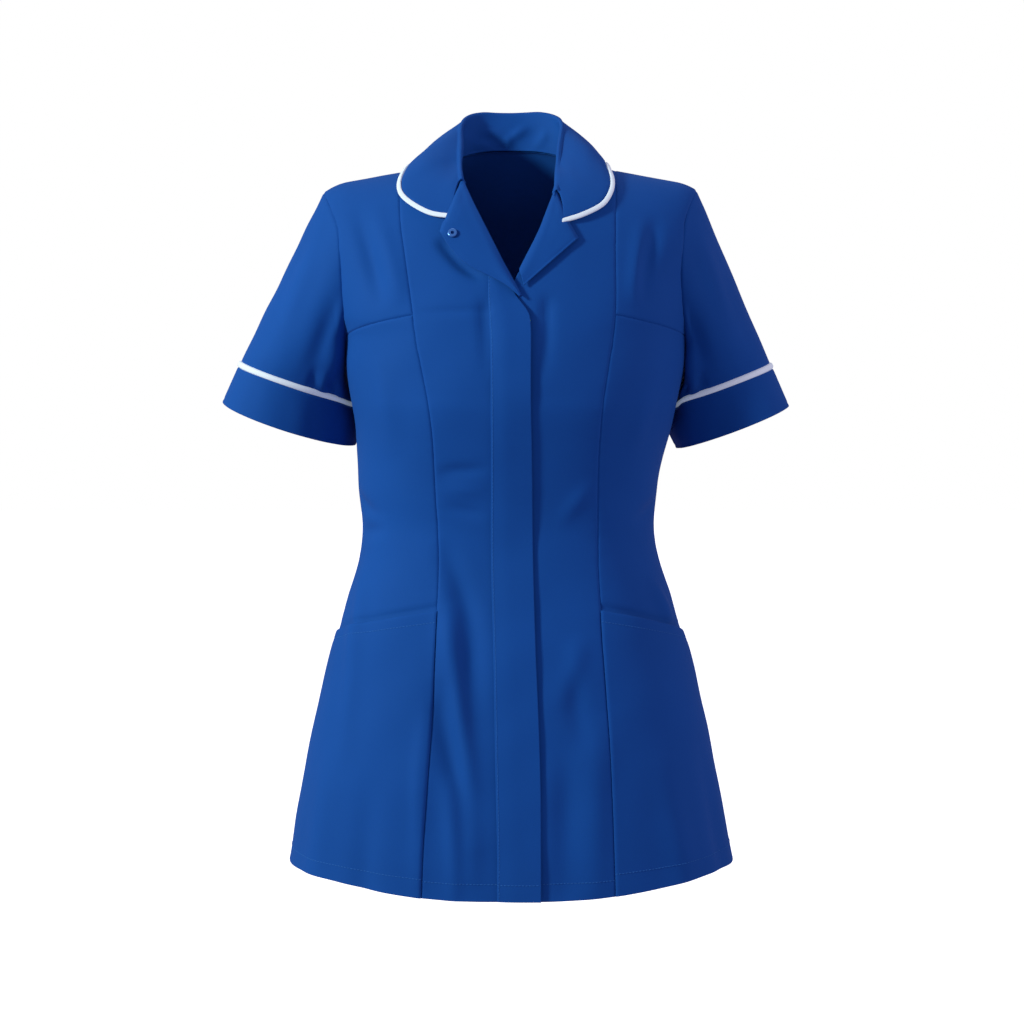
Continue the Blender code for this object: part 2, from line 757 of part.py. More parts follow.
def collar_grid():
    """Path of the collar at each station: up the stand, over the fold, down the fall."""
    stations = collar_stations()
    folds = [Vector((side * row.fold_x, row.fold_y, row.fold_z)) for side, row, face in stations]
    grid = []
    for number, (side, row, face) in enumerate(stations):
        fold = folds[number]
        along = folds[min(number + 1, len(folds) - 1)] - folds[max(number - 1, 0)]
        along.normalize()
        out = along.cross(Vector((0, 0, 1))).normalized()
        if out.dot(Vector((fold.x, fold.y + 0.06, 0))) < 0:
            out = -out
        up = out.cross(along)
        up *= 1 if up.z > 0 else -1
        neck = neck_point(side, row, face)
        centre = fold - up * FOLD_RADIUS + out * FOLD_RADIUS
        arc = [centre + out * FOLD_RADIUS * math.cos(math.radians(angle))
               + up * FOLD_RADIUS * math.sin(math.radians(angle)) for angle in FOLD_ANGLES]
        if (arc[0] - neck).length < STAND_DROP:
            neck = arc[0] - up * STAND_DROP
        level = level_at(row.edge_x, row.edge_z, face)
        level = min(level, CREST)
        edge = cloth_point(turn_at(side * row.edge_x, level), level, face, COLLAR_EDGE_LIFT)
        arc[-1] = clear_of_shoulder(arc[-1], COLLAR_CLEAR)
        reach = edge - arc[-1]
        swell = along.cross(reach).normalized()
        swell *= 1 if swell.dot(up + out) > 0 else -1
        length = reach.length
        ends = (1 - (PIPING_WIDTH + 2 * SEAM) / length, 1 - PIPING_WIDTH / length, 1)
        line = [neck, mix(neck, arc[0], 0.5)] + arc
        near_end = min(number, len(folds) - 1 - number)
        bulge = FALL_BULGE * mix(0.35, 1, ease(near_end / 7))
        for part in FALL_PARTS + ends:
            point = arc[-1] + reach * part + swell * bulge * math.sin(math.pi * part)
            line.append(clear_of_shoulder(point, COLLAR_CLEAR))
        grid.append(line)
    return grid


collar = collar_grid()
collar_out = grid_normals(collar, False)
middle = len(collar) // 2
sign = 1 if collar_out[middle][-3].y > 0 else -1
collar_out = [[normal * sign for normal in line] for line in collar_out]
outer = [line[:-2] for line in collar]
inner = [line[:-2] for line in moved(collar, collar_out, -DOUBLE_CLOTH)]
wall("collar", outer, inner, TWILL)
outer = [line[-2:] for line in moved(collar, collar_out, PIPING_THICK - DOUBLE_CLOTH)]
inner = [line[-2:] for line in moved(collar, collar_out, -DOUBLE_CLOTH)]
wall("collar_piping", outer, inner, WHITE)

# Lapels: rows from the gorge seam at the collar down to the bottom of the neck opening, each
# from the roll line to the lapel's own edge, with the height of its face off the front
Lapel = namedtuple("Lapel", "roll_x roll_level edge_x edge_level middle_lift edge_lift")
LAPELS = {
    RIGHT: (
        Lapel(-0.0469, -0.0238, -0.0653, -0.0792, 0.0052, 0.0062),
        Lapel(-0.0397, -0.0400, -0.0614, -0.0856, 0.0052, 0.0060),
        Lapel(-0.0297, -0.0600, -0.0500, -0.0991, 0.0052, 0.0058),
        Lapel(-0.0195, -0.0800, -0.0370, -0.1082, 0.0054, 0.0056),
        Lapel(-0.0092, -0.1000, -0.0215, -0.1158, 0.0058, 0.0056),
        Lapel(0.0015, -0.1190, -0.0050, -0.1250, 0.0060, 0.0056),
        Lapel(0.0090, -0.1330, 0.0068, -0.1352, 0.0056, 0.0054),
    ),
    LEFT: (
        Lapel(0.0405, -0.0345, 0.0579, -0.0841, 0.0046, 0.0046),
        Lapel(0.0345, -0.0500, 0.0500, -0.0909, 0.0046, 0.0044),
        Lapel(0.0268, -0.0700, 0.0400, -0.0995, 0.0044, 0.0042),
        Lapel(0.0190, -0.0860, 0.0300, -0.1081, 0.0042, 0.0040),
        Lapel(0.0118, -0.0998, 0.0200, -0.1167, 0.0040, 0.0038),
        Lapel(0.0070, -0.1090, 0.0115, -0.1240, 0.0038, 0.0036),
    ),
}
# The notch, where the collar's end meets the lapel
NOTCH = {RIGHT: (-0.0557, -0.0612), LEFT: (0.0480, -0.0668)}
ROLL_LIFT = 0.0020
LAPEL_STEPS = 4


def lapel_grid(side, lift_less=0.0):
    grid = []
    for number, row in enumerate(LAPELS[side]):
        line = []
        for step in range(LAPEL_STEPS + 1):
            part = step / LAPEL_STEPS
            x = mix(row.roll_x, row.edge_x, part)
            level = mix(row.roll_level, row.edge_level, part)
            if number == 0:
                notch_x, notch_level = NOTCH[side]
                half = 2 * part
                x = mix(row.roll_x, notch_x, half)
                level = mix(row.roll_level, notch_level, half)
                if half > 1:
                    x = mix(notch_x, row.edge_x, half - 1)
                    level = mix(notch_level, row.edge_level, half - 1)
            rise = ease(min(part / 0.4, 1))
            lift = mix(ROLL_LIFT, mix(row.middle_lift, row.edge_lift, part), rise)
            line.append(cloth_point(turn_at(x, level), level, FRONT, lift - lift_less))
        grid.append(line)
    return grid


for side in (RIGHT, LEFT):
    wall("lapel_" + word(side), lapel_grid(side), lapel_grid(side, DOUBLE_CLOTH), TWILL)


# Fly over the zip
def fly_nodes():
    levels = [row.level for row in FLY[:3]] + [row.princess for row in ROWS[FLY_START_ROW:]]
    nodes = []
    for number, level in enumerate(levels):
        stitched = through(FLY, "stitched", level)
        free = through(FLY, "free", level)
        line = []
        for step in range(4):
            at = node(mix(stitched, free, step / 3), level)
            if number == len(levels) - 1:
                at = Node(at.turn, hem_level(at.turn))
            line.append(at)
        nodes.append(line)
    return nodes


def fly_lift(at, step):
    gape = through(FLY, "gape", at.level)
    return gape if step else SEAM + DOUBLE_CLOTH


fly = fly_nodes()
outer = [[cloth_point(at.turn, at.level, FRONT, fly_lift(at, step))
          for step, at in enumerate(line)] for line in fly]
inner = [[cloth_point(at.turn, at.level, FRONT, fly_lift(at, step) - DOUBLE_CLOTH)
          for step, at in enumerate(line)] for line in fly]
wall("fly", outer, inner, TWILL)

# Zip: two tapes behind the fronts, the closed chain between them, the slider and its pull
TAPE_INNER = 0.0050
TAPE_OUTER = 0.0185
TAPE_THICK = 0.0010
CHAIN_HALF = 0.0046
CHAIN_LIFT = -0.0006
CHAIN_THICK = 0.0026
ZIP_TOP = -0.120
CHAIN_TOP = -0.1550
ZIP_END = -0.700
SLIDER_LEVEL = -0.1470
SLIDER_HALF = 0.0045
SLIDER_LENGTH = 0.0140
SLIDER_LIFT = 0.0006
SLIDER_THICK = 0.0048
PULL_WIDTH = 0.0055
PULL_LENGTH = 0.0240
PULL_THICK = 0.0010


def zip_strip(name, top, low, high, lift, thick, material):
    levels = [top] + [row.princess for row in ROWS[FLY_START_ROW:-1] if row.princess < top]
    nodes = [[node(zip_x(level) + offset, level) for offset in (low, high)]
             for level in levels + [ZIP_END]]
    return cloth_wall(name, nodes, FRONT, material, lift, thick)


tape_lift = -CLOTH - 2 * SEAM
zip_strip("zip_tape_right", ZIP_TOP, -TAPE_OUTER, -TAPE_INNER, tape_lift, TAPE_THICK, ZIP_BLUE)
zip_strip("zip_tape_left", ZIP_TOP, TAPE_INNER, TAPE_OUTER, tape_lift, TAPE_THICK, ZIP_BLUE)
zip_strip("zip_chain", CHAIN_TOP, -CHAIN_HALF, CHAIN_HALF, CHAIN_LIFT, CHAIN_THICK, ZIP_BLUE)


def plate(name, outline, seat, low, high, material, edge):
    """Flat plate: an outline in the plane across the seat, with softened edges."""
    place, across, up, out = seat
    count = len(outline)
    points = [place + across * x + up * z + out * height
              for height in (low, high) for x, z in outline]
    faces = [tuple(range(count)), tuple(range(count, 2 * count))]
    for number in range(count):
        after = (number + 1) % count
        faces.append((number, after, count + after, count + number))
    mesh = bpy.data.meshes.new(name)
    mesh.from_pydata([tuple(point) for point in points], [], faces)
    piece = add_object(name, mesh, material)
    bevel = piece.modifiers.new("soft_edges", "BEVEL")
    bevel.width = edge
    bevel.segments = 1
    return piece


def seat_on_form(x, level):
    turn = turn_at(x, level)
    out = outward(turn, level, FRONT)
    across = Vector((0, 0, 1)).cross(out).normalized()
    across *= 1 if across.x > 0 else -1
    return skin(turn, level, FRONT), across, across.cross(out) * -1, out


half = SLIDER_LENGTH / 2
shoulder = SLIDER_HALF * 0.55
slider = ((-shoulder, half), (-SLIDER_HALF, half * 0.5), (-SLIDER_HALF, -half * 0.2),
          (-shoulder, -half), (shoulder, -half), (SLIDER_HALF, -half * 0.2),
          (SLIDER_HALF, half * 0.5), (shoulder, half))
seat = seat_on_form(zip_x(SLIDER_LEVEL), SLIDER_LEVEL)
plate("zip_slider", slider, seat, SLIDER_LIFT - SLIDER_THICK, SLIDER_LIFT, ZIP_METAL, 0.0005)

wide = PULL_WIDTH / 2
long = PULL_LENGTH
pull = ((-wide * 0.6, 0), (-wide, -long * 0.3), (-wide, -long * 0.85), (-wide * 0.5, -long),
        (wide * 0.5, -long), (wide, -long * 0.85), (wide, -long * 0.3), (wide * 0.6, 0))
plate("zip_pull", pull, seat, SLIDER_LIFT + SEAM, SLIDER_LIFT + SEAM + PULL_THICK, ZIP_METAL,
      0.0002)

# Press stud: the ring on the right lapel's tip and the ball half behind the left one
STUD_RADIUS = 0.0045
STUD_HOLE = 0.0018
STUD_THICK = 0.0011
STUD_LIFT = 0.0068
STUD_SIDES = 18


def turned(name, profile, seat, material, closed):
    """Solid of revolution about the outward direction; profile holds radius and height."""
    place, across, up, out = seat
    body = bmesh.new()
    rings = []
    for radius, height in profile:
        if radius == 0:
            rings.append([body.verts.new(place + out * height)])
            continue
        ring = []
        for number in range(STUD_SIDES):
            angle = 2 * math.pi * number / STUD_SIDES
            around = across * math.cos(angle) + up * math.sin(angle)
            ring.append(body.verts.new(place + around * radius + out * height))
        rings.append(ring)
    pairs = list(zip(rings, rings[1:]))
    if closed:
        pairs.append((rings[-1], rings[0]))
    for one, other in pairs:
        for number in range(STUD_SIDES):
            after = (number + 1) % STUD_SIDES
            corners = [one[number % len(one)], one[after % len(one)],
                       other[after % len(other)], other[number % len(other)]]
            body.faces.new(list(dict.fromkeys(corners)))
    mesh = bpy.data.meshes.new(name)
    body.to_mesh(mesh)
    body.free()
    return add_object(name, mesh, material)


low, high = STUD_LIFT, STUD_LIFT + STUD_THICK
ring = ((STUD_HOLE, low), (STUD_RADIUS, low), (STUD_RADIUS, high - 0.0003),
        (STUD_RADIUS - 0.0006, high), (STUD_HOLE, high))
turned("press_stud_socket", ring, seat_on_form(-0.0572, -0.0755), ZIP_METAL, closed=True)
low = SEAM
ball = ((0, low), (STUD_RADIUS, low), (STUD_RADIUS, low + 0.0006), (STUD_HOLE, low + 0.0008),
        (STUD_HOLE * 0.8, low + STUD_THICK), (0, low + STUD_THICK))
turned("press_stud_ball", ball, seat_on_form(0.0505, -0.0770), ZIP_METAL, closed=False)
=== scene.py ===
"""Looks of the zip-front tunic: royal-blue twill, white piping, studio light and camera."""
import math
from collections import namedtuple

import bmesh
import bpy
import numpy as np
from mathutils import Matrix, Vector


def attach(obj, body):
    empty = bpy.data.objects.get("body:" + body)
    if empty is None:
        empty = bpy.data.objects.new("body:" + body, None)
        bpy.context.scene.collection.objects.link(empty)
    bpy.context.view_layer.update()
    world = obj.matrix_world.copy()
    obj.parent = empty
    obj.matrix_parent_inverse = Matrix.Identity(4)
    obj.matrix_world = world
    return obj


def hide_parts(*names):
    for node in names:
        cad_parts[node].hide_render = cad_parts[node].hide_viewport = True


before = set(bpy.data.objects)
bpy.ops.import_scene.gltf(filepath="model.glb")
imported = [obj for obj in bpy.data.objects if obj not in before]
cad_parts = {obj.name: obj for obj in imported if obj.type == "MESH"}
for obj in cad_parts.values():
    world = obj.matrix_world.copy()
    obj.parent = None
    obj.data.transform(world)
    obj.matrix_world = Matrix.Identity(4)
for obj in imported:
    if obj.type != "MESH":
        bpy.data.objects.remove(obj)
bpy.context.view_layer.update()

# Front centre panels
# Two pieces of matt polyester-cotton twill, cut from the shoulder to the hem, seamed to the
# side fronts along the princess seams and split down the middle by the zip. The body they
# wrap is drawn here: rings of given half width and depth, closed over the shoulders.

# Each shell reaches this far past a seam, so that no light shows through it
MEET = 0.0002

# Main sizes of the tunic
HEM_CENTRE = -0.7238
HEM_RISE = 0.0150
NECK_HALF = 0.068
BUST_LEVEL = -0.225
BLADE_LEVEL = -0.150
BUST_DEPTH = 0.1262
BLADE_DEPTH = 0.105
ROUNDNESS = 2.4

# The shoulder line falls from the neck to the sleeve, and the back of the neck stands higher
SHOULDER_SLOPE = 0.18
SLOPE_START = 0.060
TIP_START = 0.165
TIP_REACH = 0.030
TIP_DROP = 0.009
NAPE_RISE = 0.035
YOKE_REACH = 0.200
NAPE_REACH = 0.055
CREST = -4e-7

FRONT = -1
BACK = 1
RIGHT = -1
LEFT = 1
QUARTER = math.pi / 2

# Half width of the form at each level, on the wearer's right and left
Form = namedtuple("Form", "level right left")
FORM = [Form(*row) for row in (
    (0.000, 0.2000, 0.2000), (-0.060, 0.1970, 0.1970), (-0.100, 0.1880, 0.1880),
    (-0.150, 0.1780, 0.1815), (-0.172, 0.1690, 0.1768), (-0.203, 0.1674, 0.1745),
    (-0.234, 0.1635, 0.1686), (-0.264, 0.1589, 0.1617), (-0.295, 0.1573, 0.1537),
    (-0.325, 0.1559, 0.1478), (-0.364, 0.1526, 0.1449), (-0.387, 0.1537, 0.1465),
    (-0.410, 0.1585, 0.1528), (-0.433, 0.1652, 0.1611), (-0.464, 0.1746, 0.1700),
    (-0.495, 0.1840, 0.1804), (-0.557, 0.1988, 0.1957), (-0.620, 0.2121, 0.2085),
    (-0.682, 0.2228, 0.2203), (-0.740, 0.2325, 0.2310),
)]

# How far the form reaches to the front and to the back at each level
Depth = namedtuple("Depth", "level reach")
FRONT_DEPTH = [Depth(*row) for row in (
    (BUST_LEVEL, BUST_DEPTH), (-0.245, 0.1255), (-0.280, 0.1175), (-0.330, 0.1065),
    (-0.370, 0.1025), (-0.430, 0.1090), (-0.480, 0.1180), (-0.550, 0.1260), (-0.620, 0.1320),
    (-0.740, 0.1375),
)]
BACK_DEPTH = [Depth(*row) for row in (
    (BLADE_LEVEL, BLADE_DEPTH), (-0.190, 0.1040), (-0.240, 0.0985), (-0.300, 0.0925),
    (-0.360, 0.0905), (-0.410, 0.0975), (-0.460, 0.1120), (-0.520, 0.1255), (-0.580, 0.1320),
    (-0.740, 0.1370),
)]

# Distance of the princess seams from the centre line
Princess = namedtuple("Princess", "level right left back")
PRINCESS = [Princess(*row) for row in (
    (0.000, 0.1115, 0.1035, 0.1070), (-0.047, 0.1100, 0.1020, 0.1040),
    (-0.094, 0.1038, 0.1010, 0.1000), (-0.140, 0.0978, 0.1007, 0.0960),
    (-0.180, 0.0928, 0.0975, 0.0915), (-0.227, 0.0833, 0.0895, 0.0860),
    (-0.270, 0.0775, 0.0857, 0.0815), (-0.315, 0.0755, 0.0844, 0.0785),
    (-0.370, 0.0727, 0.0845, 0.0770), (-0.415, 0.0726, 0.0858, 0.0785),
    (-0.472, 0.0752, 0.0893, 0.0830), (-0.571, 0.0802, 0.0962, 0.0910),
    (-0.657, 0.0866, 0.1000, 0.0970), (-0.740, 0.0905, 0.1030, 0.1010),
)]

# Heights of the rows of cloth at the princess seams and at the armholes and side seams
Row = namedtuple("Row", "princess side")
ROWS = [Row(*row) for row in (
    (CREST, CREST), (-0.0015, -0.0015), (-0.006, -0.006), (-0.014, -0.014), (-0.030, -0.030),
    (-0.050, -0.052), (-0.075, -0.085), (-0.100, -0.120), (-0.125, -0.150), (-0.1505, -0.1725),
    (-0.165, -0.185), (-0.180, -0.190), (-0.200, -0.210), (-0.235, -0.240), (-0.272, -0.275),
    (-0.310, -0.312), (-0.345, -0.350), (-0.375, -0.385), (-0.407, -0.420), (-0.4413, -0.476),
    (-0.490, -0.515), (-0.550, -0.565), (-0.610, -0.615), (-0.668, -0.665),
    (HEM_CENTRE, HEM_CENTRE),
)]
BUST_ROW = 9
UNDERARM_ROW = 11
POCKET_ROW = 19

# Armhole: half width of the panels at each row from the shoulder down, and where the same
# point comes round the sleeve, from 0 on top of the shoulder to 180 degrees at the underarm
Armhole = namedtuple("Armhole", "front_right front_left back_right back_left round_sleeve")
ARMHOLE = [Armhole(*row) for row in (
    (0.1900, 0.1860, 0.1900, 0.1860, 0), (0.1893, 0.1852, 0.1895, 0.1855, 7),
    (0.1880, 0.1835, 0.1890, 0.1848, 15), (0.1850, 0.1802, 0.1872, 0.1828, 25),
    (0.1790, 0.1750, 0.1840, 0.1800, 37), (0.1728, 0.1708, 0.1800, 0.1770, 50),
    (0.1705, 0.1682, 0.1770, 0.1748, 66), (0.1690, 0.1688, 0.1750, 0.1748, 84),
    (0.1677, 0.1712, 0.1710, 0.1740, 103), (0.1660, 0.1730, 0.1665, 0.1735, 126),
)]
LOW_ARMHOLE_TURN = math.radians(85)


def through(rows, column, level):
    """Value of a table's column at each level, on a smooth curve through its rows."""
    down = np.array([-row.level for row in rows])
    value = np.array([getattr(row, column) for row in rows])
    slope = np.empty(len(down))
    slope[1:-1] = (value[2:] - value[:-2]) / (down[2:] - down[:-2])
    slope[0] = (value[1] - value[0]) / (down[1] - down[0])
    slope[-1] = (value[-1] - value[-2]) / (down[-1] - down[-2])
    at = np.clip(-np.asarray(level, float), down[0], down[-1])
    first = np.searchsorted(down[1:-1], at, side="left")
    width = down[first + 1] - down[first]
    part = (at - down[first]) / width
    rest = 1 - part
    start = value[first] * (1 + 2 * part) + width * part * slope[first]
    end = value[first + 1] * (3 - 2 * part) - width * rest * slope[first + 1]
    return rest ** 2 * start + part ** 2 * end


def ease(part):
    """Smooth step from 0 to 1."""
    part = np.clip(part, 0, 1)
    return part * part * (3 - 2 * part)


def depth(level, face):
    """How far the form reaches to the front or back, closing like an ellipse above its peak."""
    peak = BUST_LEVEL if face == FRONT else BLADE_LEVEL
    reach = BUST_DEPTH if face == FRONT else BLADE_DEPTH
    up = np.maximum((level - peak) / -peak, 0)
    closing = reach * np.sqrt(np.maximum(1 - up * up, 0))
    table = FRONT_DEPTH if face == FRONT else BACK_DEPTH
    return np.where(level > peak, closing, through(table, "reach", level))


def rise(x, level, face):
    """How far the slope of the shoulders and the nape lift a row of cloth off its level."""
    away = np.abs(x)
    height = -SHOULDER_SLOPE * np.maximum(away - SLOPE_START, 0)
    height = height - TIP_DROP * (np.maximum(away - TIP_START, 0) / TIP_REACH) ** 2
    height = height * ease(1 + level / YOKE_REACH)
    if face == BACK:
        nape = np.maximum(1 - (away / NECK_HALF) ** 2, 0)
        height = height + NAPE_RISE * nape * ease(1 + level / NAPE_REACH)
    return height


def skin(turn, level, face):
    """Points of the form, turned from 0 at the centre to a quarter at either side."""
    turn, level = np.broadcast_arrays(np.asarray(turn, float), np.asarray(level, float))
    across = np.abs(np.sin(turn)) ** (2 / ROUNDNESS)
    forward = np.maximum(np.cos(turn), 0) ** (2 / ROUNDNESS)
    half = np.where(turn < 0, through(FORM, "right", level), through(FORM, "left", level))
    x = np.sign(turn) * half * across
    y = face * (depth(level, face) * forward - MEET)
    return np.stack((x, y, level + rise(x, level, face)), -1)


def outward(turn, level, face):
    """Directions straight out of the form."""
    step = 0.002
    drop = 0.0005
    sideways = (skin(np.minimum(turn + step, QUARTER), level, face)
                - skin(np.maximum(turn - step, -QUARTER), level, face))
    upwards = (skin(turn, np.minimum(level + drop, CREST), face)
               - skin(turn, level - drop, face))
    out = np.cross(sideways, upwards) * -face
    return out / np.linalg.norm(out, axis=-1, keepdims=True)


def turn_at(x, level):
    """Turn at which the form is this far from the centre line."""
    half = np.where(np.asarray(x) < 0, through(FORM, "right", level), through(FORM, "left", level))
    part = np.minimum(np.abs(x) / half, 1)
    return np.sign(x) * np.arcsin(part ** (ROUNDNESS / 2))


Node = namedtuple("Node", "turn level")


def hem_level(turn):
    """The hem is lowest at the centre and rises towards the side seams."""
    return HEM_CENTRE + HEM_RISE * ease((abs(math.degrees(turn)) - 5) / 58)


def node(x, level):
    """Node of the form at a distance from the centre line."""
    return Node(float(turn_at(x, level)), float(level))


def princess_seam(side, face):
    """Nodes down a princess seam, one at each row of cloth."""
    column = "back" if face == BACK else ("right" if side < 0 else "left")
    return [node(side * through(PRINCESS, column, row.princess), row.princess) for row in ROWS]


def side_line(side, face):
    """Armhole edge and side seam of a panel, from the shoulder to the hem."""
    place = "right" if side < 0 else "left"
    column = ("back_" if face == BACK else "front_") + place
    nodes = []
    for number, row in enumerate(ROWS):
        if number < len(ARMHOLE):
            nodes.append(node(side * getattr(ARMHOLE[number], column), row.side))
        elif number < UNDERARM_ROW:
            nodes.append(Node(side * LOW_ARMHOLE_TURN, row.side))
        else:
            nodes.append(Node(side * QUARTER, row.side))
    return nodes


def mix(one, other, part):
    """Value part of the way from one to the other."""
    return one + (other - one) * part


def panel_nodes(left, right, columns, to_hem):
    """Grid of nodes between two seams, reaching slightly past them on every side."""
    past = MEET / 0.10
    grid = []
    for number, (start, end) in enumerate(zip(left, right)):
        line = []
        low = max(start.turn - past, -QUARTER)
        high = min(end.turn + past, QUARTER)
        for column in range(columns + 1):
            part = column / columns
            turn = mix(low, high, part)
            level = mix(start.level, end.level, part)
            if to_hem and number == len(left) - 1:
                level = hem_level(turn)
            if number == 0 and level < CREST:
                level += MEET
            if number == len(left) - 1:
                level -= MEET
            line.append(Node(turn, level))
        grid.append(line)
    return grid


def ordered(side, inner, outer):
    """The two seams of a panel with the lower turn first."""
    return (inner, outer) if side > 0 else (outer, inner)


def word(side):
    """Name of a side, as the nodes of the part have it."""
    return "right" if side < 0 else "left"


# Creases: the width and, along the path, the turn in degrees, the level and the lift, in
# millimetres. Ridges are lifted and troughs sunk.
Crease = namedtuple("Crease", "face width path")
BODY_CREASES = [Crease(FRONT, *row) for row in (
    (9, ((-48, -28, 0), (-44, -68, -1.6), (-42.7, -107, -1.9), (-40.7, -144, 0))),
    (9, ((-40, -25, 0), (-35.6, -71, 1.0), (-33.5, -114, 1.3), (-32, -141, 0))),
    (8, ((36, -45, 0), (36, -80, 1.0), (36, -114, 1.3), (36, -144, 0))),
    (8, ((43, -38, 0), (41, -80, -1.5), (40, -113, -0.9), (40, -140, 0))),
    (6, ((-24, -308, 0), (-18, -304, -0.9), (-12, -303, -0.9), (-5, -300, 0))),
    (7, ((-24, -322, 0), (-14, -323, 0.7), (-6, -324, 0))),
    (6, ((-23, -337, 0), (-13.5, -343, -0.8), (-6, -348, 0))),
    (11, ((-24, -372, 0), (-19, -395, -1.7), (-13, -430, -2.5), (-10, -460, -2.3), (-8.5, -500, -1.7),
        (-6.5, -571, 0))),
    (12, ((-19.5, -505, 0), (-16, -548, -2.0), (-12.8, -586, -2.6), (-9, -624, -1.9), (-6.4, -670, 0))),
    (9, ((-17, -430, 0), (-15.5, -469, 2.2), (-12.3, -527, 3.0), (-9.3, -585, 2.6), (-7.4, -645, 1.4),
        (-7, -700, 0.6))),
    (9, ((-21, -400, 0), (-18, -460, 1.2), (-17, -500, 0.7), (-18, -540, 0))),
    (8, ((-14, -600, 0), (-12, -650, 1.8), (-11, -690, 1.4), (-11, -722, 0.6))),
    (8, ((-21.5, -520, 0), (-21.5, -600, 1.2), (-20, -690, 0.8), (-20, -720, 0.3))),
    (8, ((29, -312, 0), (21, -336, 0.8), (13.5, -360, 0))),
    (11, ((20, -462, 0), (15, -500, 1.6), (11.3, -538, 0))),
    (11, ((14.2, -480, 0), (15, -522, -1.5), (16.7, -585, 0))),
    (14, ((22, -540, 0), (19, -620, 1.5), (17, -712, 0.8))),
    (12, ((12, -560, 0), (11, -630, -1.4), (10, -712, -0.7))),
    (3.5, ((-28.4, -149, 0), (-15.6, -148, -0.7), (-4.9, -147, -0.5))),
    (12, ((-76, -399, 0), (-65, -432, 1.4), (-60, -463, 2.0), (-56, -498, 1.6), (-52, -560, 1.0),
        (-50, -605, 0))),
    (10, ((60, -412, 0), (66, -443, 1.9), (72, -465, 0))),
    (14, ((-50, -190, 0), (-46, -240, 1.1), (-44, -292, 0))),
    (14, ((53, -196, 0), (48, -250, 1.2), (45, -305, 0))),
    (8, ((-84, -328, 0), (-70, -343, -1.4), (-52, -352, 0))),
    (8, ((-84, -374, 0), (-66, -368, -1.3), (-50, -364, 0))),
    (8, ((84, -338, 0), (69, -348, -1.5), (51, -356, 0))),
    (18, ((-60, -560, 0), (-58, -640, 1.5), (-57, -715, 1.8))),
    (14, ((-38, -600, 0), (-37, -660, -1.2), (-36, -715, -1.4))),
    (18, ((44, -580, 0), (45, -650, 1.5), (46, -715, 1.8))),
    (16, ((66, -560, 0), (68, -650, -1.4), (69, -715, -1.6))),
    (5.5, ((-17.4, -75, 0), (-15.9, -85, -2.0), (-12.5, -100, -2.4), (-9.1, -110, -2.1),
        (-5.6, -118, 0))),
    (6, ((-5.6, -132, 0), (-6.0, -150, -1.3), (-6.1, -176, -0.9), (-6.1, -215, 0))),
    (6, ((8.2, -130, 0), (7.6, -146, -1.6), (7.8, -170, -1.2), (7.6, -215, 0))),
)] + [Crease(BACK, *row) for row in (
    (8, ((-22, -298, 0), (0, -310, -1.5), (18, -304, 0))),
    (8, ((-26, -345, 0), (-4, -352, -1.4), (21, -341, 0))),
    (8, ((-15, -326, 0), (3, -331, 1.1), (24, -322, 0))),
    (12, ((-48, -60, 0), (-40, -120, 1.4), (-36, -190, 0))),
    (12, ((46, -70, 0), (39, -130, 1.2), (36, -205, 0))),
    (11, ((-78, -150, 0), (-62, -190, -1.9), (-47, -242, 0))),
    (11, ((76, -160, 0), (60, -205, -1.7), (45, -250, 0))),
    (8, ((-80, -352, 0), (-62, -350, -1.5), (-45, -342, 0))),
    (8, ((82, -342, 0), (64, -352, -1.3), (43, -352, 0))),
    (20, ((-50, -480, 0), (-46, -590, 1.8), (-44, -715, 2.4))),
    (18, ((-18, -520, 0), (-16, -620, -1.4), (-15, -715, -1.8))),
    (20, ((14, -500, 0), (13, -610, 1.6), (12, -715, 2.2))),
    (18, ((48, -500, 0), (45, -600, -1.2), (44, -715, -1.6))),
    (18, ((71, -470, 0), (68, -600, 1.6), (67, -715, 2.0))),
)]


def crease_lift(points, lines):
    """Lift of each point beside soft troughs and ridges along lines of x, y, z and lift."""
    lift = np.zeros(points.shape[:-1])
    for line, width in lines:
        best = np.full(points.shape[:-1], 1e9)
        here = np.zeros(points.shape[:-1])
        for start, end in zip(line, line[1:]):
            along = end[:3] - start[:3]
            part = np.clip(((points - start[:3]) @ along) / (along @ along), 0, 1)
            away = np.linalg.norm(points - start[:3] - part[..., None] * along, axis=-1)
            nearer = away < best
            best = np.where(nearer, away, best)
            here = np.where(nearer, start[3] + (end[3] - start[3]) * part, here)
        lift += here * np.exp(-(best / width) ** 2)
    return lift


CREASE_DEPTH = 2.3
CREASE_STEPS = 6


def crease_line(crease):
    """Smooth line of a crease on the form, with its width, both in metres."""
    rows = np.array(crease.path, float)
    places = skin(np.radians(rows[:, 0]), rows[:, 1] / 1000, crease.face)
    at = np.linspace(0, len(rows) - 1, (len(rows) - 1) * CREASE_STEPS + 1)
    line = np.column_stack((places, rows[:, 2] / 1000 * CREASE_DEPTH))
    return sample(line, at, 0), crease.width / 1000


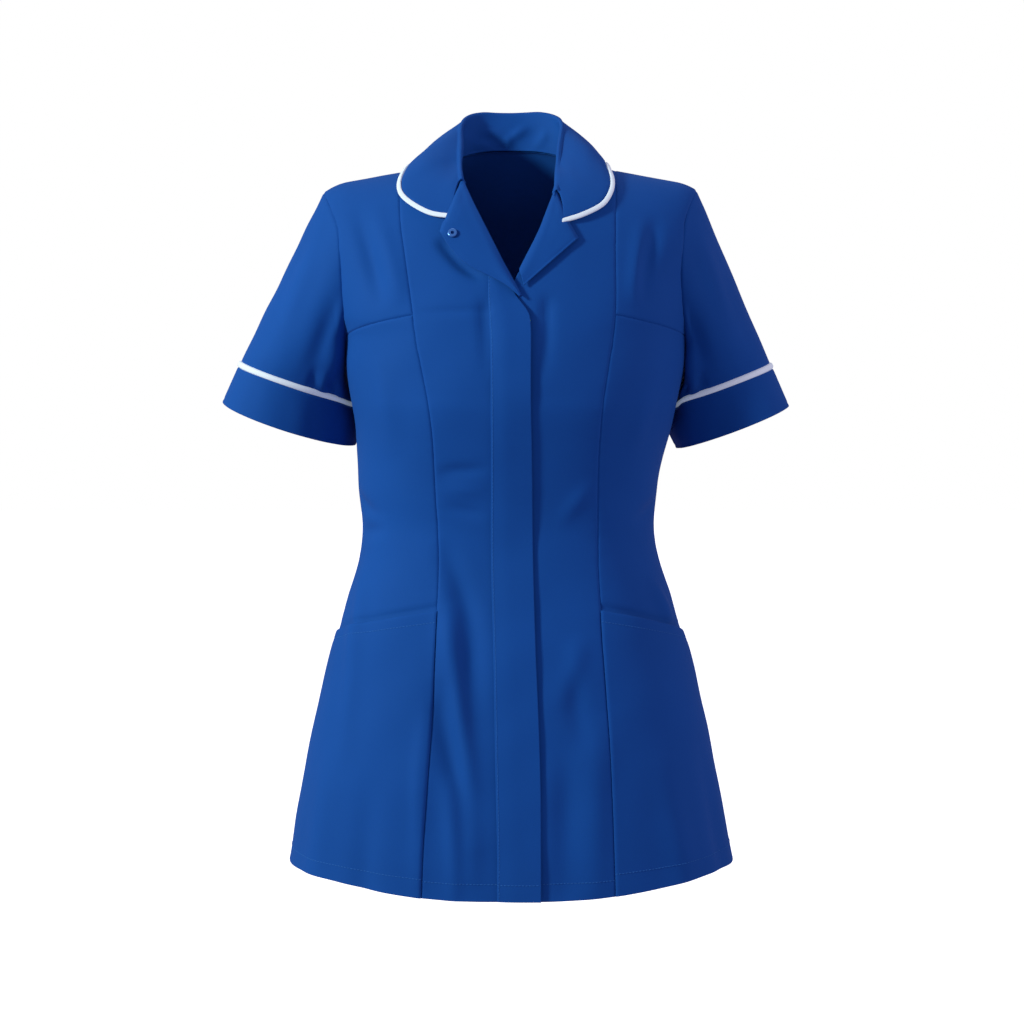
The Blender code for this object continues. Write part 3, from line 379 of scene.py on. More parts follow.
def sample(values, places, axis, closed=False):
    """Values between the rows or columns of a grid, on Catmull-Rom curves through them."""
    count = values.shape[axis]
    first = np.floor(places).astype(int)
    if not closed:
        first = np.clip(first, 0, count - 2)
    part = places - first

    def row(shift):
        index = (first + shift) % count if closed else np.clip(first + shift, 0, count - 1)
        return np.take(values, index, axis)

    shape = [1] * values.ndim
    shape[axis] = len(places)
    part = part.reshape(shape)
    one, two, three, four = row(-1), row(0), row(1), row(2)
    if not closed:
        at_start = (first == 0).reshape(shape)
        at_end = (first == count - 2).reshape(shape)
        one = np.where(at_start, 2 * two - three, one)
        four = np.where(at_end, 2 * three - two, four)
    bend = (2 * one - 5 * two + 4 * three - four) * part ** 2
    twist = (3 * two - one - 3 * three + four) * part ** 3
    return 0.5 * (2 * two + (three - one) * part + bend + twist)


SPACING = 0.0034
EDGE_ROWS = (0.0005, 0.0011, 0.0020)


def stations(points, axis, spacing, closed=False):
    """Places of the fine rows: evenly spaced, and closer along both edges."""
    if closed:
        steps = np.roll(points, -1, axis) - points
    else:
        steps = np.diff(points, axis=axis)
    lengths = np.linalg.norm(steps, axis=-1).mean(axis=1 - axis)
    places = []
    for number, length in enumerate(lengths):
        count = max(int(round(length / spacing)), 1)
        places += [number + step / count for step in range(count)]
    if not closed:
        places.append(len(lengths))
        for edge in EDGE_ROWS:
            if edge < lengths[0] * 0.5:
                places.append(edge / lengths[0])
            if edge < lengths[-1] * 0.5:
                places.append(len(lengths) - edge / lengths[-1])
    places = sorted(places)
    kept = [places[0]]
    for place in places[1:]:
        if place - kept[-1] > 1e-4:
            kept.append(place)
    return np.array(kept)


def edge_distance(points, axis):
    """How far each fine row or column lies from the two ends of its grid."""
    steps = np.linalg.norm(np.diff(points, axis=axis), axis=-1)
    zero = np.zeros_like(np.take(steps, [0], axis))
    along = np.concatenate((zero, np.cumsum(steps, axis)), axis)
    total = np.take(along, [-1], axis)
    return along, total - along


def surface_normals(points, closed=False):
    """Directions across a fine grid, which may close round into a tube."""
    if closed:
        across = np.roll(points, -1, 1) - np.roll(points, 1, 1)
    else:
        across = np.gradient(points, axis=1)
    normals = np.cross(across, np.gradient(points, axis=0))
    return normals / np.maximum(np.linalg.norm(normals, axis=-1, keepdims=True), 1e-12)


def add_mesh(name, points, faces, material):
    """Smooth-shaded object with its faces turned outwards."""
    mesh = bpy.data.meshes.new(name)
    mesh.from_pydata([tuple(point) for point in np.asarray(points).tolist()], [], faces)
    body = bmesh.new()
    body.from_mesh(mesh)
    bmesh.ops.recalc_face_normals(body, faces=body.faces)
    body.to_mesh(mesh)
    body.free()
    mesh.materials.append(material)
    mesh.shade_smooth()
    piece = bpy.data.objects.new(name, mesh)
    bpy.context.scene.collection.objects.link(piece)
    return piece


EDGE_ROUND = 0.3


def shell(name, outer, inner, material, closed=False):
    """Closed cloth between two grids of points, with its edges rounded over."""
    rows, columns = outer.shape[:2]
    middle = (outer + inner) / 2
    for edge in (0, -1):
        for layer in (outer, inner):
            layer[edge] = mix(layer[edge], middle[edge], EDGE_ROUND)
            if not closed:
                layer[:, edge] = mix(layer[:, edge], middle[:, edge], EDGE_ROUND)
    number = np.arange(rows * columns).reshape(rows, columns)
    after = np.roll(number, -1, 1) if closed else number[:, 1:]
    here = number if closed else number[:, :-1]
    one, two, three, four = here[:-1], after[:-1], after[1:], here[1:]
    layer = rows * columns
    faces = np.stack((one, two, three, four), -1).reshape(-1, 4).tolist()
    faces += (np.stack((four, three, two, one), -1).reshape(-1, 4) + layer).tolist()
    loops = [(here[0], after[0]), (after[-1], here[-1])]
    if not closed:
        loops += [(number[1:, 0], number[:-1, 0]), (number[:-1, -1], number[1:, -1])]
    for start, end in loops:
        faces += np.stack((start, start + layer, end + layer, end), -1).tolist()
    points = np.concatenate((outer.reshape(-1, 3), inner.reshape(-1, 3)))
    return add_mesh(name, points, faces, material)


def groove(distance, deep, width, at=0.0):
    """Lift in a soft groove that runs this far from an edge, as a seam or a stitch row draws it."""
    return -deep * np.exp(-((distance - at) / width) ** 2)


def seam_roll(distance):
    """The cloth turns in where it is seamed."""
    return groove(distance, 0.0010, 0.0013)


BODY_LINES = [crease_line(crease) for crease in BODY_CREASES]
BODY_WAVE = 0.0005


def body_relief(base):
    """Creases of the body, with a slight unevenness that no pressing takes out."""
    x, y, z = base[..., 0], base[..., 1], base[..., 2]
    wave = np.sin(61 * x + 23 * z + 3 * np.sin(17 * z)) * np.sin(47 * z - 19 * x + 31 * y)
    wave += 0.6 * np.sin(29 * x - 71 * z + 2 * np.sin(23 * x)) * np.cos(37 * y + 13 * z)
    calm = ease((-z - 0.010) / 0.05)
    return crease_lift(base, BODY_LINES) + BODY_WAVE * wave * calm


def pucker(base, distance):
    """Short ripples where the thread draws the cloth in beside a seam."""
    along = base[..., 2] * 390 + 2.2 * np.sin(base[..., 2] * 83 + base[..., 0] * 40)
    return 0.00013 * np.sin(along) * np.exp(-distance / 0.006)


def body_grid(nodes, face, lift=0.0, seams="LRTB", spacing=SPACING):
    """Fine points on the body for a grid of nodes, with their outward directions."""
    coarse = np.array([[(at.turn, at.level) for at in line] for line in nodes])
    rough = skin(coarse[..., 0], coarse[..., 1], face)
    fine = sample(coarse, stations(rough, 0, spacing), 0)
    fine = sample(fine, stations(rough, 1, spacing), 1)
    turn = np.clip(fine[..., 0], -QUARTER, QUARTER)
    level = np.minimum(fine[..., 1], CREST)
    base = skin(turn, level, face)
    out = outward(turn, level, face)
    top, bottom = edge_distance(base, 0)
    left, right = edge_distance(base, 1)
    near = np.full(base.shape[:2], 1.0)
    for mark, distance in zip("LRTB", (left, right, top, bottom)):
        if mark in seams:
            near = np.minimum(near, distance)
    rolled = seam_roll(near) + pucker(base, near)
    return base + out * (lift + body_relief(base) + rolled)[..., None], out


def line_on(surface, out, axis, from_end, away):
    """A row or column of a fine grid, this far from one of its ends, with its directions."""
    distance = edge_distance(surface, axis)[from_end].mean(axis=1 - axis)
    index = int(np.argmin(np.abs(distance - away)))
    return np.take(surface, index, axis), np.take(out, index, axis)


def add_node(tree, kind, values=(), **settings):
    """Shader node with its settings and the values of its inputs."""
    made = tree.nodes.new("ShaderNode" + kind)
    for setting, value in settings.items():
        setattr(made, setting, value)
    for socket, value in dict(values).items():
        made.inputs[socket].default_value = value
    return made


def principled(name, values):
    """Material with its one shader, and the values of that shader's inputs."""
    material = bpy.data.materials.new(name)
    material.use_nodes = True
    shader = material.node_tree.nodes["Principled BSDF"]
    for socket, value in values.items():
        shader.inputs[socket].default_value = value
    return material, shader


def twill(name, colour):
    """Matt twill: a fine diagonal weave in bump, and slight changes of shade."""
    material, shader = principled(name, {
        "Roughness": 0.78, "Specular IOR Level": 0.16, "Sheen Weight": 0.04, "Sheen Roughness": 0.50,
        "Sheen Tint": (0.45, 0.62, 1.0, 1)})
    tree = material.node_tree
    dark = (*[part * 0.90 for part in colour], 1)
    light = (*[min(part * 1.10, 1) for part in colour], 1)
    place = add_node(tree, "TexCoord")
    cloud = add_node(tree, "TexNoise", {"Scale": 9, "Detail": 4})
    grain = add_node(tree, "TexNoise", {"Scale": 1400, "Detail": 2})
    shade = add_node(tree, "Mix", {"A": dark, "B": light}, data_type="RGBA")
    fleck = add_node(tree, "Mix", {"Factor": 0.22}, data_type="RGBA", blend_type="MULTIPLY")
    turned = add_node(tree, "Mapping", {"Rotation": (0.35, math.radians(38), 0.25)})
    weave = add_node(tree, "TexWave", {"Scale": 300, "Distortion": 0.6, "Detail": 1})
    both = add_node(tree, "Math", operation="ADD")
    bump = add_node(tree, "Bump", {"Strength": 0.16, "Distance": 0.0004})
    link = tree.links.new
    link(place.outputs["Object"], cloud.inputs["Vector"])
    link(place.outputs["Object"], grain.inputs["Vector"])
    link(place.outputs["Object"], turned.inputs["Vector"])
    link(turned.outputs["Vector"], weave.inputs["Vector"])
    link(cloud.outputs["Fac"], shade.inputs["Factor"])
    link(shade.outputs["Result"], fleck.inputs["A"])
    link(grain.outputs["Color"], fleck.inputs["B"])
    link(fleck.outputs["Result"], shader.inputs["Base Color"])
    link(weave.outputs["Fac"], both.inputs[0])
    link(grain.outputs["Fac"], both.inputs[1])
    link(both.outputs["Value"], bump.inputs["Height"])
    link(bump.outputs["Normal"], shader.inputs["Normal"])
    return material


def in_place_of(piece, solid):
    """Every piece of the tunic stands in for a solid of the one body."""
    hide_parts(solid)
    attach(piece, "root")


ROYAL = twill("royal_twill", (0.0050, 0.084, 0.360))
SINGLE = 0.0009


def cloth(name, outer, out, thick=SINGLE, closed=False,
          material=ROYAL):
    """A piece of cloth in place of its plain solid."""
    piece = shell(name + "_cloth", outer, outer - out * thick, material, closed)
    in_place_of(piece, name)


# Fly: the doubled strip over the zip, from its stitched side to its free edge
Fly = namedtuple("Fly", "level stitched free gape")
FLY = [Fly(*row) for row in (
    (-0.112, -0.0226, -0.0075, 0.0026), (-0.120, -0.0228, -0.0040, 0.0028),
    (-0.135, -0.0231, 0.0050, 0.0032), (-0.1505, -0.0228, 0.0160, 0.0045),
    (-0.181, -0.0212, 0.0183, 0.0050), (-0.214, -0.0208, 0.0179, 0.0040),
    (-0.292, -0.0204, 0.0194, 0.0034), (-0.391, -0.0206, 0.0206, 0.0032),
    (-0.488, -0.0181, 0.0234, 0.0032), (-0.585, -0.0166, 0.0273, 0.0032),
    (-0.673, -0.0147, 0.0283, 0.0034), (-0.740, -0.0147, 0.0284, 0.0036),
)]
ZIP_CHANNEL = 0.0060


def zip_x(level):
    """The zip runs down the middle of the fly."""
    level = min(level, FLY[3].level)
    return (through(FLY, "stitched", level) + through(FLY, "free", level)) / 2


# Neck edge of each front: from the shoulder seam down to where the lapel starts to roll,
# then along the lapel's roll to the zip
NeckEdge = namedtuple("NeckEdge", "level right left")
NECK_EDGE = [NeckEdge(*row) for row in (
    (0.0000, 0.0680, 0.0660), (-0.0015, 0.0672, 0.0652), (-0.0060, 0.0640, 0.0620),
    (-0.0140, 0.0570, 0.0560), (-0.0225, 0.0502, 0.0492), (-0.0450, 0.0397, 0.0391),
    (-0.0700, 0.0272, 0.0293), (-0.0950, 0.0147, 0.0168),
)]


def zip_edge(side):
    """Inner edge of a front centre panel: the neck edge, the roll, then beside the zip."""
    nodes = []
    for number, row in enumerate(ROWS):
        if number < len(NECK_EDGE):
            edge = NECK_EDGE[number]
            x = getattr(edge, word(side))
            nodes.append(node(side * x, min(edge.level, CREST)))
        else:
            level = row.princess if number > len(NECK_EDGE) else -0.120
            nodes.append(node(zip_x(level) + side * ZIP_CHANNEL, level))
    return nodes


# The hem's stitch row, this far up from its edge, is gathered panel by panel
HEM_DEPTH = 0.0180
hem_lines = []
for side in (RIGHT, LEFT):
    nodes = panel_nodes(*ordered(side, zip_edge(side), princess_seam(side, FRONT)), 3, True)
    surface, out = body_grid(nodes, FRONT, seams="RT" if side > 0 else "LT")
    hem_lines.append(line_on(surface, out, 0, 1, HEM_DEPTH))
    cloth("front_centre_" + word(side), surface, out)

# Side fronts
# An upper piece over the chest and a longer lower one, joined under the bust by a curved
# seam, both set into the princess seam and seamed to the back at the side.
for side in (RIGHT, LEFT):
    princess = princess_seam(side, FRONT)
    outside = side_line(side, FRONT)
    pair = ordered(side, princess[:BUST_ROW + 1], outside[:BUST_ROW + 1])
    surface, out = body_grid(panel_nodes(*pair, 4, False), FRONT, seams="LRTB")
    cloth("front_side_upper_" + word(side), surface, out)

    pair = ordered(side, princess[BUST_ROW:], outside[BUST_ROW:])
    lower_nodes = panel_nodes(*pair, 5, True)
    # A shallow trough marks the pocket's top edge on the panel behind it
    pocket_top = [(math.degrees(at.turn), at.level * 1000 + 3.5, -0.8)
                  for at in lower_nodes[POCKET_ROW - BUST_ROW]]
    BODY_LINES.append(crease_line(Crease(FRONT, 3.0, pocket_top)))
    surface, out = body_grid(lower_nodes, FRONT, seams="LRT")
    cloth("front_side_" + word(side), surface, out)

# Hip pockets
# A second layer of the twill on each lower side front, caught in the princess seam, the side
# seam and the hem. Its slanted top edge is turned in and stitched, and stays open.
POCKET_LIFT = 0.0016
POCKET_GAPE = 0.0026
POCKET_STITCH = 0.0095
pocket_lines = []
for side in (RIGHT, LEFT):
    pair = ordered(side, princess_seam(side, FRONT)[BUST_ROW:], side_line(side, FRONT)[BUST_ROW:])
    pocket_nodes = panel_nodes(*pair, 5, True)[POCKET_ROW - BUST_ROW:]
    surface, out = body_grid(pocket_nodes, FRONT, POCKET_LIFT, seams="LR")
    below = edge_distance(surface, 0)[0]
    left, right = edge_distance(surface, 1)
    share = np.clip(np.minimum(left, right) / 0.045, 0, 1)
    gape = POCKET_GAPE * ease(share) * np.exp(-(below / 0.030) ** 2)
    stitched = groove(below, 0.0004, 0.0012, POCKET_STITCH)
    surface = surface + out * (gape + stitched)[..., None]
    pocket_lines.append(line_on(surface, out, 0, 0, POCKET_STITCH))
    hem_lines.append(line_on(surface, out, 0, 1, HEM_DEPTH))
    cloth("pocket_" + word(side), surface, out)

# Back panels
# A centre back on the fold, shaped at the waist, and two side backs. The shoulder seams join
# them to the fronts and the neck is curved for the collar.
NAPE_LEVEL = -0.0145


def back_centre_nodes():
    """The back centre panel reaches up to the curve of the neck between the shoulders."""
    shares = (0, 0.22, 0.43, 0.58, NECK_HALF / PRINCESS[0].back, 0.83, 1)
    places = [-share for share in reversed(shares[1:])] + list(shares)
    nodes = []
    for number, row in enumerate(ROWS):
        line = []
        reach = through(PRINCESS, "back", row.princess) + MEET
        for place in places:
            x = place * reach
            neck = NAPE_LEVEL * max(1 - (x / NECK_HALF) ** 2, 0)
            level = row.princess + neck * (1 - ease(-row.princess / 0.12))
            at = node(x, min(level, CREST))
            if number == len(ROWS) - 1:
                at = Node(at.turn, hem_level(at.turn) - MEET)
            line.append(at)
        nodes.append(line)
    return nodes


BACK_CUTS = {"side": (0.200, 0.715, 0.100), "centre": (0.225, 0.745, 0.139)}
backs = [("back_centre", back_centre_nodes(), BACK_CUTS["centre"])]
for side in (LEFT, RIGHT):
    pair = ordered(side, princess_seam(side, BACK), side_line(side, BACK))
    backs.insert(0, ("back_side_" + word(side), panel_nodes(*pair, 5, True), BACK_CUTS["side"]))
for name, nodes, size in backs:
    surface, out = body_grid(nodes, BACK, seams="LRT")
    hem_lines.append(line_on(surface, out, 0, 1, HEM_DEPTH))
    cloth(name, surface, out)

# Sleeves
# Short set-in sleeves, each one piece of twill eased into the armhole and seamed under the
# arm, gathered a little where the seam draws in the cuff band.
# The seam with the cuff band and the hem, each an oval given by its outer point, its inner
# point beside the body, its half depth and how far its front edge hangs lower
Oval = namedtuple("Oval", "outer inner half_depth dip")
CUFF_SEAM = {
    RIGHT: Oval(Vector((-0.2772, 0.014, -0.2022)), Vector((-0.1500, 0.052, -0.2460)), 0.062, 0.001),
    LEFT: Oval(Vector((0.2640, 0.014, -0.2040)), Vector((0.1500, 0.052, -0.2475)), 0.060, 0.000),
}
SLEEVE_HEM = {
    RIGHT: Oval(Vector((-0.2946, 0.012, -0.2408)), Vector((-0.1620, 0.044, -0.2862)), 0.063, 0.005),
    LEFT: Oval(Vector((0.2820, 0.012, -0.2449)), Vector((0.1705, 0.044, -0.2900)), 0.061, 0.001),
}
SLEEVE_ROWS = 6
SLEEVE_BODY_GAP = 0.0035
CAP_BULGE = 0.006
PIPING_WIDTH = 0.0050
SEAM = 0.0003
LOW_ROUND_SLEEVE = 152


def form_point(turn, level, face):
    """One point of the form."""
    return Vector(skin(float(turn), float(level), face).tolist())


def form_out(turn, level, face):
    """Direction straight out of the form at one point."""
    return Vector(outward(float(turn), float(level), face).tolist())


def half_width(level, side):
    """Half width of the form on one side."""
    return float(through(FORM, "right" if side < 0 else "left", level))


def armhole_ring(side):
    """Points round an armhole from the shoulder over the front to the underarm and back."""
    front = side_line(side, FRONT)[:UNDERARM_ROW + 1]
    back = side_line(side, BACK)[:UNDERARM_ROW + 1]
    low = [LOW_ROUND_SLEEVE, 180]
    angles = [row.round_sleeve for row in ARMHOLE] + low
    ring = [(at, FRONT, angle) for at, angle in zip(front, angles)]
    ring += [(at, BACK, 360 - angle) for at, angle in zip(back, angles)][-2:0:-1]
    return ring


def oval_point(oval, angle):
    """Point of an oval, turned from its outer point over the front."""
    centre = (oval.outer + oval.inner) / 2
    across = (oval.outer - oval.inner) / 2
    turn = math.radians(angle)
    forward = math.sin(turn)
    return centre + across * math.cos(turn) + Vector((0, -oval.half_depth, -oval.dip)) * forward


def clear_of_side(point, gap):
    """Move a sleeve point sideways until it is clear of the body's side."""
    side = RIGHT if point.x < 0 else LEFT
    level = min(point.z, CREST)
    reach = depth(level, FRONT if point.y < 0 else BACK)
    part = min(abs(point.y) / max(reach, 1e-6), 1)
    limit = half_width(level, side) * (1 - part ** ROUNDNESS) ** (1 / ROUNDNESS) + gap
    if abs(point.x) < limit:
        return Vector((side * limit, point.y, point.z))
    return point


def sleeve_rings(side):
    """Rings of the sleeve from the armhole to the cuff seam."""
    rows = []
    for number in range(SLEEVE_ROWS + 1):
        part = number / SLEEVE_ROWS
        line = []
        for at, face, angle in armhole_ring(side):
            top = form_point(at.turn, at.level, face) + Vector((-side * MEET, 0, 0))
            point = mix(top, oval_point(CUFF_SEAM[side], angle), part)
            swell = CAP_BULGE * math.sin(math.pi * part) * abs(math.sin(math.radians(angle)))
            point.y += swell * (-1 if angle < 180 else 1)
            if number:
                point = clear_of_side(point, SLEEVE_BODY_GAP * min(2 * part, 1))
            line.append(point)
        rows.append(line)
    return rows


def cuff_rings(side):
    """Rings of the cuff band from its seam to the sleeve's hem."""
    angles = [angle for at, face, angle in armhole_ring(side)]
    rows = []
    for part in (0, 0.5, 1):
        line = []
        for angle in angles:
            top = oval_point(CUFF_SEAM[side], angle)
            end = oval_point(SLEEVE_HEM[side], angle)
            line.append(clear_of_side(mix(top, end, part), SLEEVE_BODY_GAP))
        rows.append(line)
    return rows


def shorten(rows, from_start, from_end):
    """Draw the first and last rings of a surface in along the cloth by these distances."""
    rows = [list(line) for line in rows]
    for index in range(len(rows[0])):
        start, second = rows[0][index], rows[1][index]
        rows[0][index] = start + (second - start).normalized() * from_start
        end, before = rows[-1][index], rows[-2][index]
        rows[-1][index] = end + (before - end).normalized() * from_end
    return rows


# Creases of the sleeves: the width in millimetres and, along the path, the degrees round the
# arm, the share of the length from the armhole and the lift in millimetres
SleeveCrease = namedtuple("SleeveCrease", "width path")
SLEEVE_CREASES = [SleeveCrease(*row) for row in (
    (13, ((28, 0.02, 0), (42, 0.4, 1.7), (58, 0.9, 0))),
    (11, ((82, 0.08, 0), (92, 0.42, -2.4), (96, 0.9, 0))),
    (10, ((112, 0.2, 0), (112, 0.55, 1.6), (108, 0.95, 0))),
    (4.0, ((97, 0.70, 0), (99, 0.90, -1.3), (100, 1.0, -1.6))),
    (4.0, ((107, 0.66, 0), (109, 0.88, 1.4), (110, 1.0, 1.5))),
    (4.2, ((118, 0.70, 0), (119, 0.88, -1.7), (120, 1.0, -1.7))),
    (4.4, ((129, 0.72, 0), (129, 1.0, 1.4))), (12, ((252, 0.08, 0), (263, 0.5, -2.2), (268, 0.95, 0))),
    (12, ((300, 0.15, 0), (311, 0.6, 1.5), (313, 0.97, 0))), (4.4, ((236, 0.72, 0), (238, 1.0, -1.6))),
    (4.2, ((248, 0.70, 0), (249, 1.0, 1.3))), (4.0, ((259, 0.74, 0), (260, 1.0, -1.2))),
    (9, ((200, 0.1, 0), (204, 0.5, -1.6), (206, 0.9, 0))),
)]
SLEEVE_TURN = {RIGHT: 0, LEFT: 4}
SLEEVE_DEPTH = {RIGHT: 1.9, LEFT: 2.3}
SLEEVE_WAVE = 0.0005
TURN_IN = 0.0035


def sleeve_lines(coarse, angles, side):
    """Crease lines of one sleeve, from turn and share of its length to points."""
    lines = []
    known = np.array(angles + [360.0])
    index = np.arange(len(known))
    for crease in SLEEVE_CREASES:
        rows = []
        for angle, part, lift in crease.path:
            place = np.interp(angle + SLEEVE_TURN[side], known, index)
            spot = sample(coarse, np.array([part * (len(coarse) - 1)]), 0)
            spot = sample(spot, np.array([place % len(angles)]), 1, True)[0, 0]
            rows.append((*spot, lift / 1000 * SLEEVE_DEPTH[side]))
        line = sample(np.array(rows), np.linspace(0, len(rows) - 1, 9), 0)
        lines.append((line, crease.width / 1000))
    return lines


def fine_ring(coarse, spacing=SPACING):
    """Fine points of a tube, with its outward directions."""
    surface = sample(coarse, stations(coarse, 0, spacing), 0)
    surface = sample(surface, stations(surface, 1, spacing, True), 1, True)
    out = surface_normals(surface, True)
    middle = surface.mean(axis=(0, 1))
    if ((surface - middle) * out).sum() < 0:
        out = -out
    return surface, out


def array_of(grid):
    """Array of the points in a grid of vectors."""
    return np.array([[tuple(point) for point in line] for line in grid])


for side in (RIGHT, LEFT):
    coarse = array_of(shorten(sleeve_rings(side), 0, PIPING_WIDTH / 2 + SEAM))
    surface, out = fine_ring(coarse)
    ring = armhole_ring(side)
    seat_out = np.array([[tuple(form_out(at.turn, at.level, face)) for at, face, angle in ring]])
    seat_out = sample(seat_out, stations(coarse, 1, SPACING, True), 1, True)[0]
    lines = sleeve_lines(coarse, [angle for at, face, angle in ring], side)
    x, y, z = surface[..., 0], surface[..., 1], surface[..., 2]
    top, bottom = edge_distance(surface, 0)
    lift = crease_lift(surface, lines) * ease(top / 0.02)
    lift += seam_roll(bottom) + pucker(surface * 1.3, np.minimum(top, bottom))
    wave = np.sin(83 * z + 41 * y + 57 * x) * np.sin(67 * y - 31 * z)
    lift += SLEEVE_WAVE * wave * ease(top / 0.03)
    lift *= 0.3 + 0.7 * ease(bottom / 0.011)
    # The seat of the seam is sunk, and one more row is turned in under the armhole's edge
    surface = surface + out * lift[..., None] + seat_out * groove(top, 0.0010, 0.0016)[..., None]
    surface = np.concatenate((surface[:1] - seat_out * TURN_IN, surface))
    out = np.concatenate((out[:1], out))
    cloth("sleeve_" + word(side), surface, out, closed=True)

# Cuff bands and their piping
# A doubled band of the twill closes each sleeve. Bias-cut white piping, filled with cord,
# stands out of the seam between the band and the sleeve.
DOUBLED = 0.0014
CUFF_LIFT = 0.0006
CUFF_STITCH = 0.0030
CUFF_WAVE = 0.00035
PIPING_SPACING = 0.0025
PIPING_STEPS = 9
PIPING_SMOOTHING = 12
WHITE = twill("white_piping", (0.93, 0.94, 0.96))
# Painted light: the white piping glows faintly blue-white, though it is no lamp, so that it stays bright
# on its lit and its shaded sides
piping_glow = WHITE.node_tree.nodes["Principled BSDF"].inputs
piping_glow["Emission Color"].default_value = (0.70, 0.86, 1.0, 1)
piping_glow["Emission Strength"].default_value = 0.16


def unit(arrows):
    """Arrows cut to a length of one."""
    return arrows / np.linalg.norm(arrows, axis=-1, keepdims=True)


def piping(name, middle, across, out, wide, high, seat, flange, sunk, closed=False):
    """A half-round cord along a seam, over the flange that is caught in the seam."""
    half = PIPING_WIDTH / 2
    cord = []
    under = []
    for angle in np.linspace(0, math.pi, PIPING_STEPS):
        place = across * (math.cos(angle) * half)
        cord.append(middle + place * wide + out * (math.sin(angle) ** 0.6 * high + seat))
        under.append(middle + place * flange - out * sunk)
    piece = shell(name + "_cord", np.array(cord), np.array(under), WHITE, closed)
    in_place_of(piece, name)


for side in (RIGHT, LEFT):
    rings = cuff_rings(side)
    surface, out = fine_ring(array_of(shorten(rings, PIPING_WIDTH / 2 + SEAM, 0)), 0.0030)
    top, bottom = edge_distance(surface, 0)
    x, y = surface[..., 0], surface[..., 1]
    around = np.arctan2(y - y.mean(), x - x.mean())
    ripple = CUFF_WAVE * np.sin(9 * around + 1.3) * np.cos(4 * around) * ease(top / 0.02)
    stitched = groove(bottom, 0.00035, 0.0008, CUFF_STITCH)
    surface = surface + out * (CUFF_LIFT + ripple + stitched + seam_roll(top))[..., None]
    cloth("cuff_" + word(side), surface, out, thick=DOUBLED, closed=True)

    seam = array_of([rings[0]])
    up = unit(array_of([sleeve_rings(side)[-2]]) - seam)
    places = stations(seam, 1, PIPING_SPACING, True)
    seam, up = sample(seam, places, 1, True)[0], sample(up, places, 1, True)[0]
    face_out = unit(np.cross(np.roll(seam, -1, 0) - np.roll(seam, 1, 0), up))
    if ((seam - seam.mean(axis=0)) * face_out).sum() < 0:
        face_out = -face_out
    for smoothing in range(PIPING_SMOOTHING):
        face_out = (np.roll(face_out, 1, 0) + 2 * face_out + np.roll(face_out, -1, 0)) / 4
        up = (np.roll(up, 1, 0) + 2 * up + np.roll(up, -1, 0)) / 4
    piping("cuff_piping_" + word(side), seam, unit(up), unit(face_out), 1, 0.0012, 0.0008, 1.5,
           0.0007, True)

# Collar and its piping
# A rounded convertible collar cut in two layers: it stands round the neck, folds over and
# falls to the shoulders, with white piping in the seam along its outer edge.


def level_at(x, z, face):
    """Level of the row of cloth that lies at a height; above the crest it goes on evenly."""
    top = rise(x, CREST, face)
    if z > top:
        return z - top
    low = z - 2 * NAPE_RISE
    high = CREST
    for halving in range(40):
        middle = (low + high) / 2
        if middle + rise(x, middle, face) < z:
            low = middle
        else:
            high = middle
    return (low + high) / 2


# At each station round the neck, from the centre back, the neck seam, the fold line and the
# outer edge where it lies over the back, the shoulder and the front
Station = namedtuple("Station", "neck_x neck_level fold_x fold_y fold_z edge_x edge_z")
COLLAR_BACK = [Station(*row) for row in (
    (0.0000, 0, 0.0000, 0.0525, 0.0545, 0.0000, -0.0200),
    (0.0227, 0, 0.0150, 0.0515, 0.0545, 0.0260, -0.0200),
    (0.0420, 0, 0.0290, 0.0475, 0.0543, 0.0510, -0.0197),
    (0.0570, 0, 0.0400, 0.0390, 0.0515, 0.0730, -0.0183),
    (0.0655, 0, 0.0465, 0.0280, 0.0465, 0.0905, -0.0150),
)]
COLLAR_FRONT = {
    RIGHT: [Station(*row) for row in (
        (0.0680, CREST, 0.0492, 0.0165, 0.0395, 0.1010, -0.0109),
        (0.0667, -0.0015, 0.0495, 0.0050, 0.0305, 0.1045, -0.0083),
        (0.0645, -0.0035, 0.0495, -0.0070, 0.0210, 0.1090, -0.0128),
        (0.0610, -0.0075, 0.0495, -0.0190, 0.0115, 0.1130, -0.0234),
        (0.0570, -0.0120, 0.0493, -0.0300, 0.0020, 0.1115, -0.0350),
        (0.0535, -0.0155, 0.0488, -0.0410, -0.0055, 0.1010, -0.0456),
        (0.0505, -0.0190, 0.0481, -0.0500, -0.0120, 0.0800, -0.0565),
        (0.0475, -0.0225, 0.0475, -0.0576, -0.0181, 0.0569, -0.0600),
    )],
    LEFT: [Station(*row) for row in (
        (0.0660, CREST, 0.0480, 0.0165, 0.0390, 0.0970, -0.0102),
        (0.0647, -0.0015, 0.0466, 0.0040, 0.0290, 0.0970, -0.0070),
        (0.0620, -0.0040, 0.0448, -0.0090, 0.0180, 0.0985, -0.0119),
        (0.0585, -0.0085, 0.0434, -0.0220, 0.0070, 0.1010, -0.0223),
        (0.0545, -0.0135, 0.0424, -0.0345, -0.0040, 0.0990, -0.0342),
        (0.0500, -0.0190, 0.0418, -0.0475, -0.0125, 0.0895, -0.0477),
        (0.0455, -0.0260, 0.0414, -0.0586, -0.0213, 0.0690, -0.0583),
        (0.0412, -0.0332, 0.0412, -0.0691, -0.0289, 0.0484, -0.0645),
    )],
}
FOLD_RADIUS = 0.0024
STAND_INSET = 0.0038
STAND_DROP = 0.004
COLLAR_EDGE_LIFT = 0.0040
COLLAR_CLEAR = 0.0036
FALL_BULGE = 0.007
FALL_PARTS = (0.25, 0.5, 0.75)
FOLD_ANGLES = (180, 120, 60, 0)


